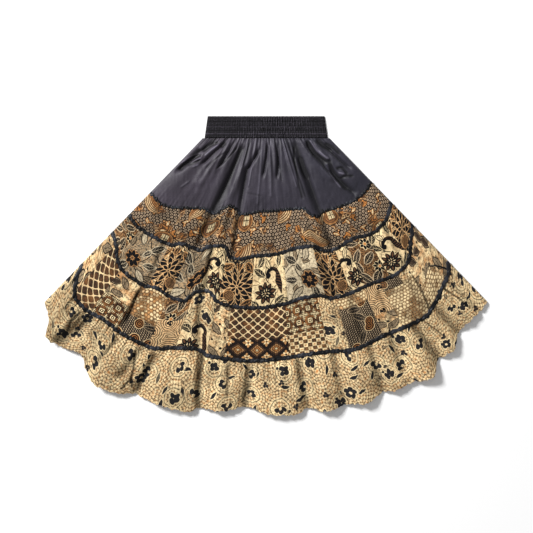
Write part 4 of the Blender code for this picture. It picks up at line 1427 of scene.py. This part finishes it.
def sew(black, brown):
    """The sewing: both edges of every ribbon, the waistband's rows and the turned hems."""
    front_lines, back_lines = [], []
    for k, trim in enumerate(TRIMS, start=1):
        half = trim.width_mm / 2
        crown = crown_of(1 - STITCH_INSET_MM / half)
        for offset in (-1, 1):
            beside = offset * (half - STITCH_INSET_MM) * MM
            back_lines.append(back_line(k, beside))
            angle, reach = seam_line(k, TRIM_COLUMNS, beside)
            front_lines.append(sewn(angle, reach, trim_level(trim, angle, reach, crown, 1.25)))
    hem = len(TIERS)
    angle, reach = seam_line(hem, TRIM_COLUMNS, -HEM_FOLD)
    hem_line = sewn(angle, reach, front_top(angle, reach) + HEM_STITCH_LIFT)
    stitches("trim_stitches_front", front_lines, black)
    stitches("trim_stitches_back", back_lines, black, -1.0)
    stitches("waistband_stitches", band_lines(), black)
    stitches("hem_stitches_front", [hem_line], brown)
    stitches("hem_stitches_back", [back_line(hem, -HEM_FOLD)], brown, -1.0)


def floor():
    """A wide pale floor just under the skirt."""
    level = (0, 0, FLOOR_LEVEL)
    bpy.ops.mesh.primitive_grid_add(x_subdivisions=4, y_subdivisions=4, size=FLOOR_SIZE, location=level)
    made = bpy.context.object
    made.name = "studio_floor"
    material = bpy.data.materials.new("studio_floor")
    material.use_nodes = True
    tree = material.node_tree
    grain = add_node(tree, "TexNoise", {"Scale": FLOOR_GRAIN}).outputs[0]
    dark, pale = [(grey, grey, grey, 1) for grey in FLOOR_SHADES]
    tint = add_node(tree, "Mix", {0: grain, 6: dark, 7: pale}, data_type="RGBA").outputs[2]
    shader = tree.nodes["Principled BSDF"]
    for socket, item in {"Base Color": tint, "Roughness": 0.9, "Specular IOR Level": 0.0}.items():
        feed(tree, shader.inputs[socket], item)
    made.data.materials.append(material)


def studio():
    """Plain soft light from the upper left, a fill from the right and an even pale surround."""
    for name, (where, power, size) in LIGHTS.items():
        made = add_object(name, bpy.data.lights.new(name, "AREA"))
        made.data.energy = power
        made.data.size = size
        made.location = where
        made.rotation_euler = (-Vector(where)).to_track_quat("-Z", "Y").to_euler()
    world = bpy.data.worlds.new("studio")
    world.use_nodes = True
    surround = world.node_tree.nodes["Background"]
    surround.inputs["Color"].default_value = (1, 1, 1, 1)
    surround.inputs["Strength"].default_value = WORLD_STRENGTH
    bpy.context.scene.world = world
    bpy.context.scene.view_settings.view_transform = "Standard"


def camera():
    """A long lens straight above the skirt, framed as the photograph is."""
    made = add_object("camera", bpy.data.cameras.new("camera"))
    made.location = (*VIEW_MIDDLE, VIEW_HEIGHT)
    made.data.sensor_width = SENSOR_WIDTH
    made.data.lens = SENSOR_WIDTH * VIEW_HEIGHT / VIEW_WIDTH
    bpy.context.scene.camera = made


# Each print, with the size in mm of the lumps that its drawing is shaken by, and how far in mm
PRINTS = {
    "rings": (rings, 34, 2.0), "cream scroll": (cream_scroll, 28, 5.0), "burst flower": (burst, 26, 5.0),
    "grey leaf": (grey_leaf, 28, 5.0), "dark leaf": (dark_leaf, 22, 3.5), "lattice": (lattice, 18, 2.4),
    "mottled": (mottled, 20, 4.5), "ceplok": (ceplok, 22, 2.0), "checks": (checks, 18, 1.6),
    "lozenges": (lozenges, 24, 3.0), "dark dots": (dark_dots, 26, 3.5), "spirals": (spirals, 26, 4.0),
    "basket": (basket, 20, 4.0), "swirls": (swirls, 40, 6.0),
}
clothes = {"yoke cotton": yoke_cotton()}
for name, (draw, lump, shake) in PRINTS.items():
    cloth = Cloth("print_" + name.replace(" ", "_"))
    draw(cloth, *drawn(cloth, lump, shake))
    clothes[name] = printed_cotton(cloth)
shells = {}
ribbons = {}
for side in ("front", "back"):
    waistband(side, elastic())
    for k in range(len(TIERS)):
        shells[k, side] = tier_shell(k, side, clothes)
ribbon_satin = satin()
for side in ("front", "back"):
    for k in range(1, len(TRIMS) + 1):
        ribbons[k, side] = [trim_strip(k, side, ribbon_satin)]
ribbons[len(TRIMS), "front"].append(trim_tail(ribbon_satin))
for (k, side), shell in shells.items():
    below, held = ([shells[k, "back"]], "gathered") if side == "front" else ([], "laid")
sew(thread("black_thread", *BLACK_THREAD), thread("brown_thread", *BROWN_THREAD))
floor()
studio()
camera()
